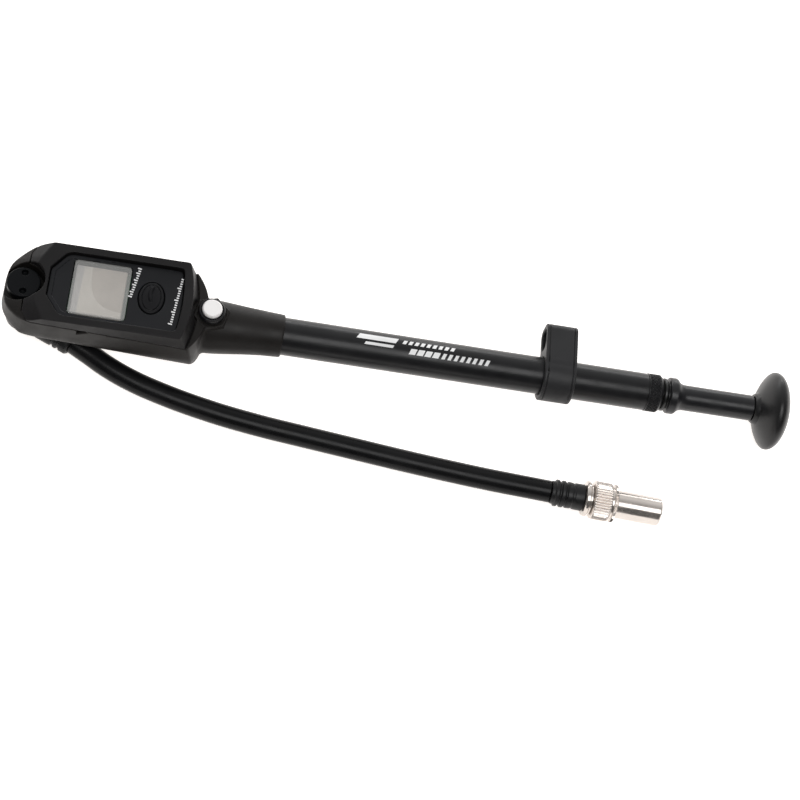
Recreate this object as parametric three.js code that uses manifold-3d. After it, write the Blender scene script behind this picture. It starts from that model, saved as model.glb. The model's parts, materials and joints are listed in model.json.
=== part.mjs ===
// Hand pump for suspension air springs, with a digital gauge in its head.
// Units are millimetres. +X runs along the barrel from the gauge head to the handle knob, +Z is up, out of
// the gauge face. The origin is where the hose swivel's axis meets the plane that the pump lies on.

import * as THREE from 'three';
import { mergeVertices } from 'three/addons/utils/BufferGeometryUtils.js';
import Module from 'manifold-3d';

const wasm = await Module();
wasm.setup();

// ---------------------------------------------------------------- driving dimensions

const GAP = 0.3;                 // clearance between pieces that touch on the real pump
const AXIS_Z = 14;               // height of the barrel's axis over the plane that the pump lies on

// gauge head
const HEAD_HALF_WIDTH = 15;
const HEAD_NOSE_X = -7.2;        // front of the nose, level with the barrel's axis
const NOSE_LEAN = THREE.MathUtils.degToRad(9);   // the nose leans back, and its underside falls towards the neck
const NOSE_UNDER = -1.5;         // its underside from the barrel's axis, before it leans
const RAMP = { z: 25.5, slope: 0.66, shoulder: 7.5, fall: 0.4 };   // top of the nose, at x = 0
const HEAD_END = { x: 62.6, radius: 24, lean: 0.2, from: 22.7 };   // rounded end at the neck: crown, plan radius
const KEEL = { halfWidth: 15.5, radius: 9 };   // rounded underside, a little wider than the straight sides
const HEAD_BOTTOM_Z = 9.16;      // underside at x = 0
const HEAD_BOTTOM_SLOPE = -0.0631;
const SEAM_Z = 24.7;             // seam between body and cover at x = 0
const SEAM_SLOPE = -0.049;
const NOSE_SEAM_X = 1;           // the seam crosses the nose here
const BODY_TOP_Z = 26.2;
const LAND_Z = 22.7;             // top of the shoulder that carries the bleed valve
const COVER_TOP_Z = 28.8;        // at the neck; the top falls slightly towards the nose
const COVER_END = { x: 57, radius: 48, lean: 0.34, from: 28.5 };   // leans out below `from`, a height
const CAVITY = { x0: 12, x1: 55.4, halfWidth: 12.4, floorZ: 14.4, ledgeZ: 23.8 };
const PILLARS = [[14.2, 10.6], [14.2, -10.6], [53.2, 10.6], [53.2, -10.6]];
const PILLAR_RADIUS = 2.1;
const SCREW_DEPTH = 3.4;         // how far the cover screws are sunk into the underside
const SCREW_TIP_Z = 24;
const BATTERY_X = 40;
const BOARD_Z = 17.7;            // underside of the circuit board
const SENSOR_X = 24;
const AIR_LINE_Z = 12;           // passage from the check valve to the swivel
const NECK_END_X = 89.5;

// gauge face
const PANEL = { x0: 8.5, x1: 54.4, halfWidth: 12, z0: 25.3, z1: 27 };
const WINDOW = { x0: 15.6, x1: 35.5, halfWidth: 10.6, corner: 1.6 };
const MODE = { x: 43, rx: 4.3, ry: 6, height: 2 };

// hose swivel in the nose
const WELL_RADIUS = 7.2;
const WELL_FLOOR_Z = 20;
const SWIVEL_BORE = 4;
const PLUG_RADIUS = 5.67;
const HOSE_ANGLE = THREE.MathUtils.degToRad(-28);
const ELBOW_Z = 4.6;
const BOOT_HEIGHT = 0.76;        // height of the boot as a share of its width

// bleed valve on the shoulder
const BLEED_X = 63.9;
const BLEED_DISC_RADIUS = 3.42;
const BLEED_TOP_Z = 26.5;
const SPRING = { turns: 3, steps: 10, radius: 2.25, wire: 0.2, foot: 24.2, height: 1.4 };

// barrel, end cap, piston and handle
const BARREL = { x0: 72.4, x1: 219.6, outer: 6.58, inner: 5.6 };
const CAP = { x0: 220, x1: 225.2, radius: 6.75 };
const ROD_RADIUS = 3;
const STEM_RADIUS = 4.55;
const KNOB = { neck: 259.7, flare: 261.2, widest: 266.6, end: 272.2, radius: 14, root: 5.9 };
const CLIP = { x: 181.6, width: 11.3, wall: 2.05 };

// hose and chuck
const HOSE_DIAMETER = 7.7;
const CHUCK_ANGLE = THREE.MathUtils.degToRad(-2.6);
const CHUCK_Z = 6.7;
const CHUCK_START = [189, -40.75];        // where the hose enters the ferrule

// ---------------------------------------------------------------- materials

const finish = (color, roughness, metalness) => ({ color, roughness, metalness });
const FINISHES = {
  shell: finish(0x2a2a2c, 0.55, 0),
  cover: finish(0x2e2e30, 0.6, 0),
  panel: finish(0x333437, 0.5, 0),
  lens: finish(0xbfc0ba, 0.1, 0),
  display: finish(0xb9b5a6, 0.4, 0),
  board: finish(0x1f5a35, 0.5, 0),
  steel: finish(0xb5b7ba, 0.3, 1),
  satinSteel: finish(0xd8d9da, 0.35, 1),
  anodised: finish(0x26272a, 0.45, 0.6),
  handle: finish(0x2b2b2e, 0.5, 0.2),
  rubber: finish(0x18181a, 0.75, 0),
  clip: finish(0x2c2c30, 0.6, 0),
  hose: finish(0x1c1c1f, 0.45, 0),
  nickel: finish(0xdad6d2, 0.15, 1),
  acetal: finish(0xe6e4dd, 0.5, 0),
};

// ---------------------------------------------------------------- solids

// A closed geometry as a solid: shared corners are merged and the faces are turned outwards.
function solid(geometry) {
  const bare = geometry.clone();
  bare.deleteAttribute('normal');
  bare.deleteAttribute('uv');
  const merged = mergeVertices(bare);
  const at = merged.attributes.position;
  const faces = [];
  let volume = 0;
  const corner = [new THREE.Vector3(), new THREE.Vector3(), new THREE.Vector3()];
  for (let i = 0; i < merged.index.count; i += 3) {
    const ids = [0, 1, 2].map((k) => merged.index.getX(i + k));
    if (new Set(ids).size < 3) continue;
    ids.forEach((id, k) => corner[k].fromBufferAttribute(at, id));
    volume += corner[0].dot(corner[1].clone().cross(corner[2]));
    faces.push(ids);
  }
  if (volume < 0) faces.forEach((ids) => ids.reverse());
  return new wasm.Manifold(new wasm.Mesh({
    numProp: 3,
    vertProperties: new Float32Array(at.array),
    triVerts: new Uint32Array(faces.flat()),
  }));
}

const join = (...pieces) => pieces.reduce((whole, piece) => whole.add(piece));
const cut = (whole, ...tools) => tools.reduce((rest, tool) => rest.subtract(tool), whole);

function geometryOf(piece) {
  const mesh = piece.getMesh();
  const geometry = new THREE.BufferGeometry();
  geometry.setAttribute('position', new THREE.BufferAttribute(mesh.vertProperties, 3));
  geometry.setIndex(new THREE.BufferAttribute(mesh.triVerts, 1));
  return geometry;
}

const box = (x0, x1, y0, y1, z0, z1) => solid(new THREE.BoxGeometry(x1 - x0, y1 - y0, z1 - z0)
  .translate((x0 + x1) / 2, (y0 + y1) / 2, (z0 + z1) / 2));

function latheGeometry(profile, segments) {
  return new THREE.LatheGeometry(profile.map(([radius, along]) => new THREE.Vector2(radius, along)), segments);
}

// Profiles are lists of [radius, distance along the axis]. A turned piece's axis is +Y until its group turns it.
const turned = (profile, segments) => solid(latheGeometry(profile, segments));
const turnedZ = (profile, segments, x = 0, y = 0) => solid(latheGeometry(profile, segments)
  .rotateX(Math.PI / 2).translate(x, y, 0));
const turnedX = (profile, segments) => solid(latheGeometry(profile, segments)
  .rotateZ(-Math.PI / 2).translate(0, 0, AXIS_Z));

const rodProfile = (radius, from, to) => [[0, from], [radius, from], [radius, to], [0, to]];
const tubeProfile = (inner, outer, from, to) => [
  [inner, from], [outer, from], [outer, to], [inner, to], [inner, from]];
const columnZ = (radius, z0, z1, segments, x = 0, y = 0) => turnedZ(rodProfile(radius, z0, z1), segments, x, y);
const rod = (radius, from, to, segments) => turned(rodProfile(radius, from, to), segments);
const rodX = (radius, x0, x1, segments) => turnedX(rodProfile(radius, x0, x1), segments);

function ringProfile(radius, wire, centre, sides) {
  const points = [];
  for (let i = 0; i <= sides; i += 1) {
    const turn = (i / sides) * 2 * Math.PI;
    points.push([radius + wire * Math.cos(turn), centre + wire * Math.sin(turn)]);
  }
  points[sides] = points[0];
  return points;
}

const plate = (shape, z0, z1, curveSegments = 4) => solid(new THREE.ExtrudeGeometry(shape,
  { depth: z1 - z0, bevelEnabled: false, curveSegments }).translate(0, 0, z0));

// A shape drawn in (x, z), pushed through the whole width.
const sideCut = (points, halfWidth) => {
  const shape = new THREE.Shape(points.map(([x, z]) => new THREE.Vector2(x, z)));
  return solid(new THREE.ExtrudeGeometry(shape, { depth: 2 * halfWidth, bevelEnabled: false })
    .rotateX(Math.PI / 2).translate(0, halfWidth, 0));
};

// A shape drawn in (y, z), pushed along +X.
const crossSection = (shape, x0, x1, curveSegments = 6) => solid(new THREE.ExtrudeGeometry(shape,
  { depth: x1 - x0, bevelEnabled: false, curveSegments })
  .rotateX(Math.PI / 2).rotateZ(Math.PI / 2).translate(x0, 0, 0));

function roundedRectangle(x0, x1, y0, y1, radius) {
  const shape = new THREE.Shape();
  shape.moveTo(x0 + radius, y0);
  shape.lineTo(x1 - radius, y0);
  shape.absarc(x1 - radius, y0 + radius, radius, -Math.PI / 2, 0);
  shape.lineTo(x1, y1 - radius);
  shape.absarc(x1 - radius, y1 - radius, radius, 0, Math.PI / 2);
  shape.lineTo(x0 + radius, y1);
  shape.absarc(x0 + radius, y1 - radius, radius, Math.PI / 2, Math.PI);
  shape.lineTo(x0, y0 + radius);
  shape.absarc(x0 + radius, y0 + radius, radius, Math.PI, 1.5 * Math.PI);
  return shape;
}

const seamZ = (x) => SEAM_Z + SEAM_SLOPE * x;
const bottomZ = (x) => HEAD_BOTTOM_Z + HEAD_BOTTOM_SLOPE * x;
const screwSeatZ = (x) => bottomZ(x) + SCREW_DEPTH;

// ---------------------------------------------------------------- head outlines

// Plan outline of the head behind the nose: straight sides and a rounded end. margin grows it.
function headPlan(end, margin) {
  const side = HEAD_HALF_WIDTH + margin;
  const radius = end.radius + margin;
  const centre = end.x - end.radius;
  const turn = Math.asin((side - 1) / radius);
  const cornerX = centre + radius * Math.cos(turn);
  const shape = new THREE.Shape();
  shape.moveTo(HEAD_NOSE_X - 6, -side);
  shape.lineTo(cornerX - 1.2, -side);
  shape.quadraticCurveTo(cornerX - 0.2, -side, cornerX, -side + 1);
  shape.absarc(centre, 0, radius, -turn, turn);
  shape.quadraticCurveTo(cornerX - 0.2, side, cornerX - 1.2, side);
  shape.lineTo(HEAD_NOSE_X - 6, side);
  return shape;
}

// The head from z0 to z1, behind the nose, with its end leaning.
const headBlock = (end, z0, z1, margin = 0) => solid(new THREE.ExtrudeGeometry(headPlan(end, margin),
  { depth: z1 - z0, bevelEnabled: false, curveSegments: 4 })
  .translate(0, 0, z0 - end.from)
  .applyMatrix4(new THREE.Matrix4().makeShear(0, 0, 0, 0, -end.lean, 0))
  .translate(0, 0, end.from));

// The nose: its plan is carried on past the neck, with a rounded edge underneath, and the whole leans back.
function noseForm() {
  const side = HEAD_HALF_WIDTH + 0.8;
  const length = 90;
  const rounding = 4.6;
  const inset = 4;
  const shape = new THREE.Shape();
  shape.moveTo(0, -3.8);
  shape.quadraticCurveTo(0.2, -7.2, 2.1, -9.5);
  shape.quadraticCurveTo(4.6, -12.6, 7.4, -14.2);
  shape.quadraticCurveTo(9.8, -15.3, 18, -side);
  shape.lineTo(length, -side);
  shape.lineTo(length, side);
  shape.lineTo(18, side);
  shape.quadraticCurveTo(9.8, 15.3, 7.4, 14.2);
  shape.quadraticCurveTo(4.6, 12.6, 2.1, 9.5);
  shape.quadraticCurveTo(0.2, 7.2, 0, 3.8);
  return solid(new THREE.ExtrudeGeometry(shape, {
    depth: 60, curveSegments: 4, bevelThickness: rounding, bevelSize: inset, bevelOffset: -inset, bevelSegments: 3 })
    .translate(0, 0, NOSE_UNDER + rounding).rotateY(NOSE_LEAN).translate(HEAD_NOSE_X, 0, AXIS_Z));
}

// The gauge face's outline: chamfered towards the nose and slightly bowed towards the neck.
function panelPlan(margin = 0) {
  const { x0, x1, halfWidth } = PANEL;
  const side = halfWidth + margin;
  const shape = new THREE.Shape();
  shape.moveTo(x0 - margin, -5.2);
  shape.lineTo(x0 + 4.2, -side + 1.2);
  shape.quadraticCurveTo(x0 + 5.4, -side, x0 + 7.4, -side);
  shape.lineTo(x1 - 2.6, -side);
  shape.quadraticCurveTo(x1 - 1.3 + margin, -side, x1 - 1.1 + margin, -side + 1.6);
  shape.quadraticCurveTo(x1 + 0.4 + margin, 0, x1 - 1.1 + margin, side - 1.6);
  shape.quadraticCurveTo(x1 - 1.3 + margin, side, x1 - 2.6, side);
  shape.lineTo(x0 + 7.4, side);
  shape.quadraticCurveTo(x0 + 5.4, side, x0 + 4.2, side - 1.2);
  shape.lineTo(x0 - margin, 5.2);
  return shape;
}

function oval(radiusX, radiusY, centreX = 0) {
  const shape = new THREE.Shape();
  shape.absellipse(centreX, 0, radiusX, radiusY, 0, 2 * Math.PI);
  return shape;
}

// Prism above the seam, from the given lift over it.
function overSeam(lift) {
  const start = NOSE_SEAM_X - GAP / 2 + (lift > 0 ? GAP : 0);
  return sideCut([[start, seamZ(0) + lift], [64, seamZ(64) + lift], [64, 40], [start, 40]], 20);
}

// Everything above the plane through a point.
function above(point, normal) {
  const turn = new THREE.Quaternion().setFromUnitVectors(
    new THREE.Vector3(0, 0, 1), new THREE.Vector3(...normal).normalize());
  return solid(new THREE.BoxGeometry(120, 120, 120).translate(0, 0, 60).applyQuaternion(turn)
    .translate(...point));
}

// The air over the nose: a ramp that falls forwards, and falls off to both sides.
const overRamp = () => [
  above([0, 0, RAMP.z], [-RAMP.slope, 0, 1]),
  above([0, RAMP.shoulder, RAMP.z], [-RAMP.slope, RAMP.fall, 1]),
  above([0, -RAMP.shoulder, RAMP.z], [-RAMP.slope, -RAMP.fall, 1]),
];

// ---------------------------------------------------------------- gauge head

function headBody() {
  const block = cut(headBlock(HEAD_END, 2, BODY_TOP_Z).intersect(noseForm()), ...overRamp());
  const { halfWidth: side, radius } = KEEL;
  const hull = new THREE.Shape();
  hull.moveTo(side, 40);
  hull.lineTo(-side, 40);
  hull.lineTo(-side, HEAD_BOTTOM_Z + radius);
  hull.absarc(-side + radius, HEAD_BOTTOM_Z + radius, radius, Math.PI, 1.5 * Math.PI);
  hull.absarc(side - radius, HEAD_BOTTOM_Z + radius, radius, -Math.PI / 2, 0);
  const keel = solid(new THREE.ExtrudeGeometry(hull, { depth: 90, bevelEnabled: false, curveSegments: 4 })
    .rotateX(Math.PI / 2).rotateZ(Math.PI / 2).translate(-10, 0, -HEAD_BOTTOM_Z)
    .rotateY(-Math.atan(HEAD_BOTTOM_SLOPE)).translate(0, 0, HEAD_BOTTOM_Z));

  const neck = turnedX([[0, 56], [9.7, 56], [9.7, 62], [9.6, 64], [9.45, 66], [9.05, 70], [8.3, 76.5],
    [7.75, 83.4], [7.45, 89], [7.1, NECK_END_X], [0, NECK_END_X]], 32);
  const hexBoss = solid(new THREE.CylinderGeometry(6.35, 6.35, 6, 6).rotateX(Math.PI / 2)
    .rotateZ(THREE.MathUtils.degToRad(-11)).translate(BLEED_X, 0, LAND_Z - 3));
  const batteryBoss = columnZ(10.3, 5.2, 10, 28, BATTERY_X);

  const coverSpace = headBlock(COVER_END, 15, 40, GAP).intersect(overSeam(-GAP / 2));
  const outer = cut(join(block.intersect(keel), neck, hexBoss, batteryBoss), coverSpace);

  const { x0, x1, halfWidth, floorZ } = CAVITY;
  const room = cut(box(x0, x1, -halfWidth, halfWidth, floorZ, 30),
    ...PILLARS.map(([x, y]) => columnZ(PILLAR_RADIUS, 0, 40, 16, x, y)));
  const screwHoles = PILLARS.map(([x, y]) => join(
    columnZ(1.35, 0, 30, 12, x, y), columnZ(2.2, 0, screwSeatZ(x), 14, x, y)));
  return cut(outer, room, ...screwHoles,
    columnZ(25, 0, 9.9, 40),                                             // room for the turning hose
    columnZ(SWIVEL_BORE, 0, 30, 24),
    columnZ(WELL_RADIUS, WELL_FLOOR_Z, 40, 32),
    box(53, BLEED_X, -16, 16, LAND_Z, 30),
    columnZ(6.6, LAND_Z, 30, 24, BLEED_X),
    columnZ(8.4, 0, 9.9, 28, BATTERY_X),                                 // battery compartment
    columnZ(1.6, 12, 15, 12, SENSOR_X),                                  // pressure port
    columnZ(2.5, 15, 30, 16, BLEED_X),
    columnZ(1.3, 12, 20, 12, BLEED_X),
    turnedX(rodProfile(1, 3, 67.5), 10).translate(0, 0, AIR_LINE_Z - AXIS_Z),
    rodX(4, 66.5, 73, 20),
    rodX(6.85, 72.1, 100, 32),
    rodX(7.65, 74.2, 76.2, 32));
}

function headCover() {
  const block = headBlock(COVER_END, 15, COVER_TOP_Z).intersect(noseForm());
  // Side view of the top: the flat face, easing into the ramp.
  const roof = sideCut([[-20, 10], [-20, 27.4], [3.4, 27.4], [6.2, 28.1], [9.4, 28.2],
    [57.2, COVER_TOP_Z], [64, COVER_TOP_Z], [64, 10]], 20);
  const { x0, x1, halfWidth, ledgeZ } = CAVITY;
  const pillars = PILLARS.map(([x, y]) => columnZ(PILLAR_RADIUS, seamZ(x) + GAP, 25, 16, x, y));
  const shell = cut(block.intersect(roof).intersect(overSeam(GAP / 2)),
    ...overRamp(),
    box(x0, x1, -halfWidth, halfWidth, 10, ledgeZ),
    plate(panelPlan(GAP), PANEL.z0 - GAP, 40),
    plate(panelPlan(-1.2), 10, 40),
    columnZ(WELL_RADIUS, 10, 40, 32),
    columnZ(6.6, 10, 40, 24, BLEED_X));
  return cut(join(shell, ...pillars), ...PILLARS.map(([x, y]) => columnZ(1.35, 10, 24.4, 12, x, y)));
}

const windowPlan = (margin) => roundedRectangle(WINDOW.x0 - margin, WINDOW.x1 + margin,
  -WINDOW.halfWidth - margin, WINDOW.halfWidth + margin, WINDOW.corner);

// The panel, lens, display and button are drawn from the panel's underside upwards.
const facePanel = () => cut(plate(panelPlan(), 0, PANEL.z1 - PANEL.z0),
  plate(windowPlan(0), -5, 5, 2),
  plate(oval(MODE.rx + GAP, MODE.ry + GAP, MODE.x), -5, 5, 10));
const displayLens = () => plate(windowPlan(-GAP), 0.6, PANEL.z1 - PANEL.z0 + 0.2, 2);
const displayModule = () => box(16.6, 33.9, -9.2, 9.2, -2.9, 0.3);

function modeButton() {
  const { rx, ry, height } = MODE;
  return join(plate(oval(rx + 0.8, ry + 0.8), -1.2, -0.3, 10), plate(oval(rx, ry), -0.8, height, 10),
    plate(oval(1.1, 2.6), height - 0.5, height + 0.45, 6), columnZ(1.5, -2.9, -0.8, 12));
}

// The board and what stands on it or under it, drawn from the board's underside.
const circuitBoard = () => join(box(12.6, 54.8, -7, 7, 0, 1.4), box(18.2, 49.8, -11.8, 11.8, 0, 1.4));
const modeSwitch = () => join(box(-3, 3, -3, 3, 1.7, 3.1), columnZ(1.4, 2.8, 3.8, 12));
const pressureSensor = () => join(columnZ(3.4, -3, -0.3, 20), columnZ(1.2, -4.3, -2.7, 12));

const coinCell = () => columnZ(7.9, 6.7, 9.6, 28);
const batteryDoor = () => cut(columnZ(8.1, 5.2, 6.4, 28), box(-3.5, 3.5, -0.7, 0.7, 5, 5.8));

// A screw standing on the underside of its head's seat, with a crossed recess underneath.
function coverScrew(length) {
  return cut(join(columnZ(1.85, -1.4, 0, 14), columnZ(1.05, -1, length, 12)),
    box(-1.1, 1.1, -0.25, 0.25, -2, -0.9), box(-0.25, 0.25, -1.1, 1.1, -2, -0.9));
}

// ---------------------------------------------------------------- hose swivel

function swivelElbow() {
  const post = turnedZ([[0, 0], [5.6, 0], [6.3, 0.7], [6.3, 8.6], [5.7, 9.3], [3.5, 9.3], [3.5, 11.2],
    [2.95, 11.2], [2.95, 12.3], [3.5, 12.3], [3.5, 15.6], [2.95, 15.6], [2.95, 16.7],
    [3.5, 16.7], [3.5, 20.3], [0, 20.3]], 20);
  const outlet = solid(latheGeometry(rodProfile(4.3, 0, 8.5), 20)
    .rotateZ(HOSE_ANGLE - Math.PI / 2).translate(0, 0, ELBOW_Z));
  return cut(join(post, outlet), columnZ(2.3, 14.5, 30, 16));
}

const swivelRing = () => turnedZ(ringProfile(3.4, 0.4, 0, 5), 16);

function swivelPlug() {
  const disc = turnedZ([[0, 20.6], [PLUG_RADIUS, 20.6], [PLUG_RADIUS, 23.9],
    [PLUG_RADIUS - 0.5, 24.4], [0, 24.4]], 32);
  return cut(join(disc, columnZ(2, 15, 21, 16)),
    columnZ(1.15, 22.4, 30, 14, 0.1, 3.5), columnZ(1.15, 22.4, 30, 14, -0.1, -3.5));
}

// ---------------------------------------------------------------- bleed valve, on its own upright axis

const bleedCollar = () => cut(join(
  turnedZ([[0, LAND_Z + GAP], [4.6, LAND_Z + GAP], [4.6, 24.7], [4.1, 25.2], [0, 25.2]], 28),
  columnZ(2.2, 16, 23.5, 16)), columnZ(3.7, 23.9, 30, 24), columnZ(1.25, 10, 30, 14));

function bleedButton() {
  const cap = turnedZ([[0, 24.9], [BLEED_DISC_RADIUS, 24.9], [BLEED_DISC_RADIUS, 26.1],
    [BLEED_DISC_RADIUS - 0.4, BLEED_TOP_Z], [0, BLEED_TOP_Z]], 28);
  return join(cut(cap, turnedZ(tubeProfile(1.5, 3, 24, 25.9), 20)), columnZ(0.9, 14.6, 25.4, 12));
}

function bleedSpring() {
  const { turns, steps, radius, wire, foot, height } = SPRING;
  const points = [];
  for (let i = 0; i <= turns * steps; i += 1) {
    const turn = (i / steps) * 2 * Math.PI;
    const z = foot + (height * i) / (turns * steps);
    points.push(new THREE.Vector3(radius * Math.cos(turn), radius * Math.sin(turn), z));
  }
  return tubeAlong(points, wire, 6, turns * steps);
}

// A round tube along a smooth curve through the points.
function tubeAlong(points, radius, sides, steps) {
  const section = new THREE.Shape();
  section.absarc(0, 0, radius, 0, 2 * Math.PI);
  return solid(new THREE.ExtrudeGeometry(section, {
    extrudePath: new THREE.CatmullRomCurve3(points), steps, curveSegments: sides / 2, bevelEnabled: false }));
}

// ---------------------------------------------------------------- barrel and check valve, on the barrel's axis

const checkValveSeat = () => cut(rod(3.7, 69.4, 71.8, 20), rod(0.8, 60, 80, 10));
const checkValveCup = () => turned([[0, 67.4], [1.2, 67.4], [3.1, 68.6], [3.1, 69.1], [0, 69.1]], 16);
const barrelTube = () => turned(tubeProfile(BARREL.inner, BARREL.outer, BARREL.x0, BARREL.x1), 32);
const barrelRing = () => turned(ringProfile(7.12, 0.38, 75.2, 5), 20);

function endCap() {
  const body = turned([[0, 212], [5.35, 212], [5.35, CAP.x0], [CAP.radius, CAP.x0], [CAP.radius, 224.4],
    [6.1, CAP.x1], [0, CAP.x1]], 32);
  return cut(body, rod(3.95, 200, 240, 24), rod(4.75, 223.4, 240, 24));
}

const rodGuide = () => turned(tubeProfile(3.15, 3.7, 212.6, 223), 24);
const rodWiper = () => turned(ringProfile(3.85, 0.55, 224.3, 5), 20);

// The clip is drawn around the barrel's axis, from its edge nearer the gauge head.
function hoseClip() {
  const outer = BARREL.outer + CLIP.wall;
  const band = new THREE.Shape();
  band.absarc(0, 0, outer, 0, 2 * Math.PI);
  const tongue = roundedRectangle(0, 17.9, -1.7, outer, 3.2);
  const slot = roundedRectangle(8.9, 16.2, 0.1, outer - 1.7, 2.4);
  return cut(join(crossSection(band, 0, CLIP.width, 16), crossSection(tongue, 0, CLIP.width, 2)),
    crossSection(slot, -1, CLIP.width + 1, 2),
    solid(latheGeometry(rodProfile(BARREL.outer + 0.15, -1, CLIP.width + 1), 32).rotateZ(-Math.PI / 2)));
}

// ---------------------------------------------------------------- piston and handle, on the barrel's axis

function pistonHead() {
  const body = turned([[0, 74], [4.7, 74], [5.35, 74.6], [5.35, 77], [4.75, 77], [4.75, 78.5], [5.35, 78.5],
    [5.35, 82], [0, 82]], 28);
  return cut(body, rod(ROD_RADIUS + 0.2, 79.4, 90, 20));
}

const pistonRing = () => turned(ringProfile(5.16, 0.35, 77.75, 5), 20);
const pistonRod = () => rod(ROD_RADIUS, 79.7, 256, 24);
const topOutRing = () => turned(ringProfile(3.95, 0.65, 83.4, 5), 16);
const bumperRing = () => turned([[3.25, 225.7], [5.3, 225.7], [5.87, 226.2], [5.87, 226.9], [5.3, 227.4],
  [3.25, 227.4], [3.25, 225.7]], 32);

function handleStem() {
  const body = turned([[0, 227.7], [4.9, 227.7], [4.9, 228.1], [6.2, 228.1], [6.5, 228.5], [6.5, 230.6],
    [6.2, 231.2], [5.4, 231.9], [4.85, 232.8], [STEM_RADIUS, 234], [STEM_RADIUS, KNOB.neck - GAP], [3.6, KNOB.neck - GAP],
    [3.6, 269], [0, 269]], 24);
  return cut(body, rod(ROD_RADIUS + 0.25, 220, 256.3, 24));
}

// The knob flares out of its neck like a trumpet and is domed behind.
function handleKnob() {
  const { neck, flare, widest, end, radius, root } = KNOB;
  const profile = [[0, neck], [5.1, neck], [5.6, neck + 0.8]];
  [0, 0.1, 0.25, 0.45, 0.7].forEach((share) => {
    profile.push([root + (radius - root) * (1 - (1 - share) ** 1.7), flare + (widest - flare) * share]);
  });
  const steps = 7;
  for (let i = 0; i < steps; i += 1) {
    const turn = (i / steps) * (Math.PI / 2);
    profile.push([radius * Math.cos(turn), widest + (end - widest) * Math.sin(turn)]);
  }
  profile.push([0, end]);
  return cut(turned(profile, 32), rod(3.9, neck - 1, 269.4, 24));
}

// ---------------------------------------------------------------- hose and chuck

const point = (x, y, z) => new THREE.Vector3(x, y, z);
const radial = (distance, z) => point(distance * Math.cos(HOSE_ANGLE), distance * Math.sin(HOSE_ANGLE), z);

// Route of the hose's centreline: straight out of the swivel, down to the surface and along it.
const HOSE_ROUTE = [
  radial(21.5, 4.55), radial(28, 4.35), point(30.9, -16.6, 4.2), point(39.6, -20.4, 4.05),
  point(48.9, -23.4, 3.95), point(66.8, -27.6, 3.9), point(84.5, -30.4, 3.9),
  point(102.2, -32.3, 3.9), point(119.9, -34.1, 3.9), point(137.7, -35.9, 3.95),
  point(155.6, -37.6, 4.3), point(166, -38.65, 4.9), point(175, -39.5, 5.6),
  point(182.5, -40.2, 6.3), point(188.7, -40.72, 6.68),
];

const hose = () => tubeAlong(HOSE_ROUTE, HOSE_DIAMETER / 2, 12, 26);

// Ribbed boot over the swivel's outlet, on the hose's exit axis. It is oval, wider than it is high.
const swivelBoot = () => solid(latheGeometry([[0, 8.8], [5.8, 8.8], [6, 9.4], [5.7, 13.2], [5.55, 14.6], [4.9, 15],
  [4.9, 15.6], [5.5, 16], [5.45, 16.9], [4.75, 17.3], [4.75, 17.9], [5.35, 18.3], [5.25, 20.5], [4.7, 21.2],
  [0, 21.2]], 24).scale(1, 1, BOOT_HEIGHT));

// Turned pieces on the chuck's axis; distances count from where the hose enters the ferrule.
const chuckFerrule = () => turned([[0, 0], [4.3, 0], [4.75, 0.5], [4.75, 1.7], [4.15, 2.1], [4.15, 2.7],
  [4.75, 3.1], [4.75, 4.6], [4.15, 5], [4.15, 5.6], [4.7, 6], [4.7, 7.2], [4.45, 7.7],
  [4.7, 11.6], [0, 11.6]], 24);

// The tail: a flange, a groove and the nose that the collar turns on.
const chuckTail = () => turned([[0, 11.9], [6, 11.9], [6.3, 12.3], [6.3, 13.2], [5.5, 13.6], [5.5, 14.2],
  [3.6, 14.2], [3.6, 21], [4.6, 21], [4.6, 22.6], [0, 22.6]], 28);

function chuckCollar() {
  const body = turned([[0, 14.6], [6.3, 14.6], [6.7, 15], [6.7, 20.9], [6.1, 21.2], [6.1, 21.7],
    [6.6, 22], [6.6, 22.9], [4.95, 23.4], [4.95, 38.9], [4.7, 39.2], [0, 39.2]], 28);
  return cut(body, rod(3.9, 14, 45, 24), rod(4.9, 20.7, 23, 24));
}

const chuckGasket = () => turned(tubeProfile(1.3, 3.6, 23, 25.4), 20);
const chuckPin = () => turned([[0, 22.9], [1, 22.9], [1, 25.5], [0.7, 25.9], [0.7, 31.4], [0.5, 31.8],
  [0, 31.8]], 12);

// ---------------------------------------------------------------- assembly

const pump = new THREE.Group();

// A group inside another, moved and turned about +Z.
function groupIn(parent, position, turn = 0) {
  const group = new THREE.Group();
  group.position.set(...position);
  group.rotation.z = turn;
  parent.add(group);
  return group;
}

// A turned piece's own axis is +Y, so a line of such pieces is turned back by a right angle.
const QUARTER_TURN = Math.PI / 2;
const head = groupIn(pump, [0, 0, 0]);
const gaugeFace = groupIn(head, [0, 0, PANEL.z0]);
const electronics = groupIn(head, [0, 0, BOARD_Z]);
const battery = groupIn(head, [BATTERY_X, 0, 0]);
const bleedValve = groupIn(head, [BLEED_X, 0, 0]);
const barrelLine = groupIn(pump, [0, 0, AXIS_Z], -QUARTER_TURN);
const clipPlace = groupIn(pump, [CLIP.x, 0, AXIS_Z]);
const swivel = groupIn(pump, [0, 0, 0]);
const hoseExit = groupIn(swivel, [0, 0, ELBOW_Z], HOSE_ANGLE - QUARTER_TURN);
const chuckLine = groupIn(pump, [CHUCK_START[0], CHUCK_START[1], CHUCK_Z], CHUCK_ANGLE - QUARTER_TURN);

function add(parent, name, finishName, piece, position = [0, 0, 0]) {
  const mesh = new THREE.Mesh(geometryOf(piece), new THREE.MeshStandardMaterial(FINISHES[finishName]));
  mesh.name = name;
  mesh.position.set(...position);
  parent.add(mesh);
}

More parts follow.
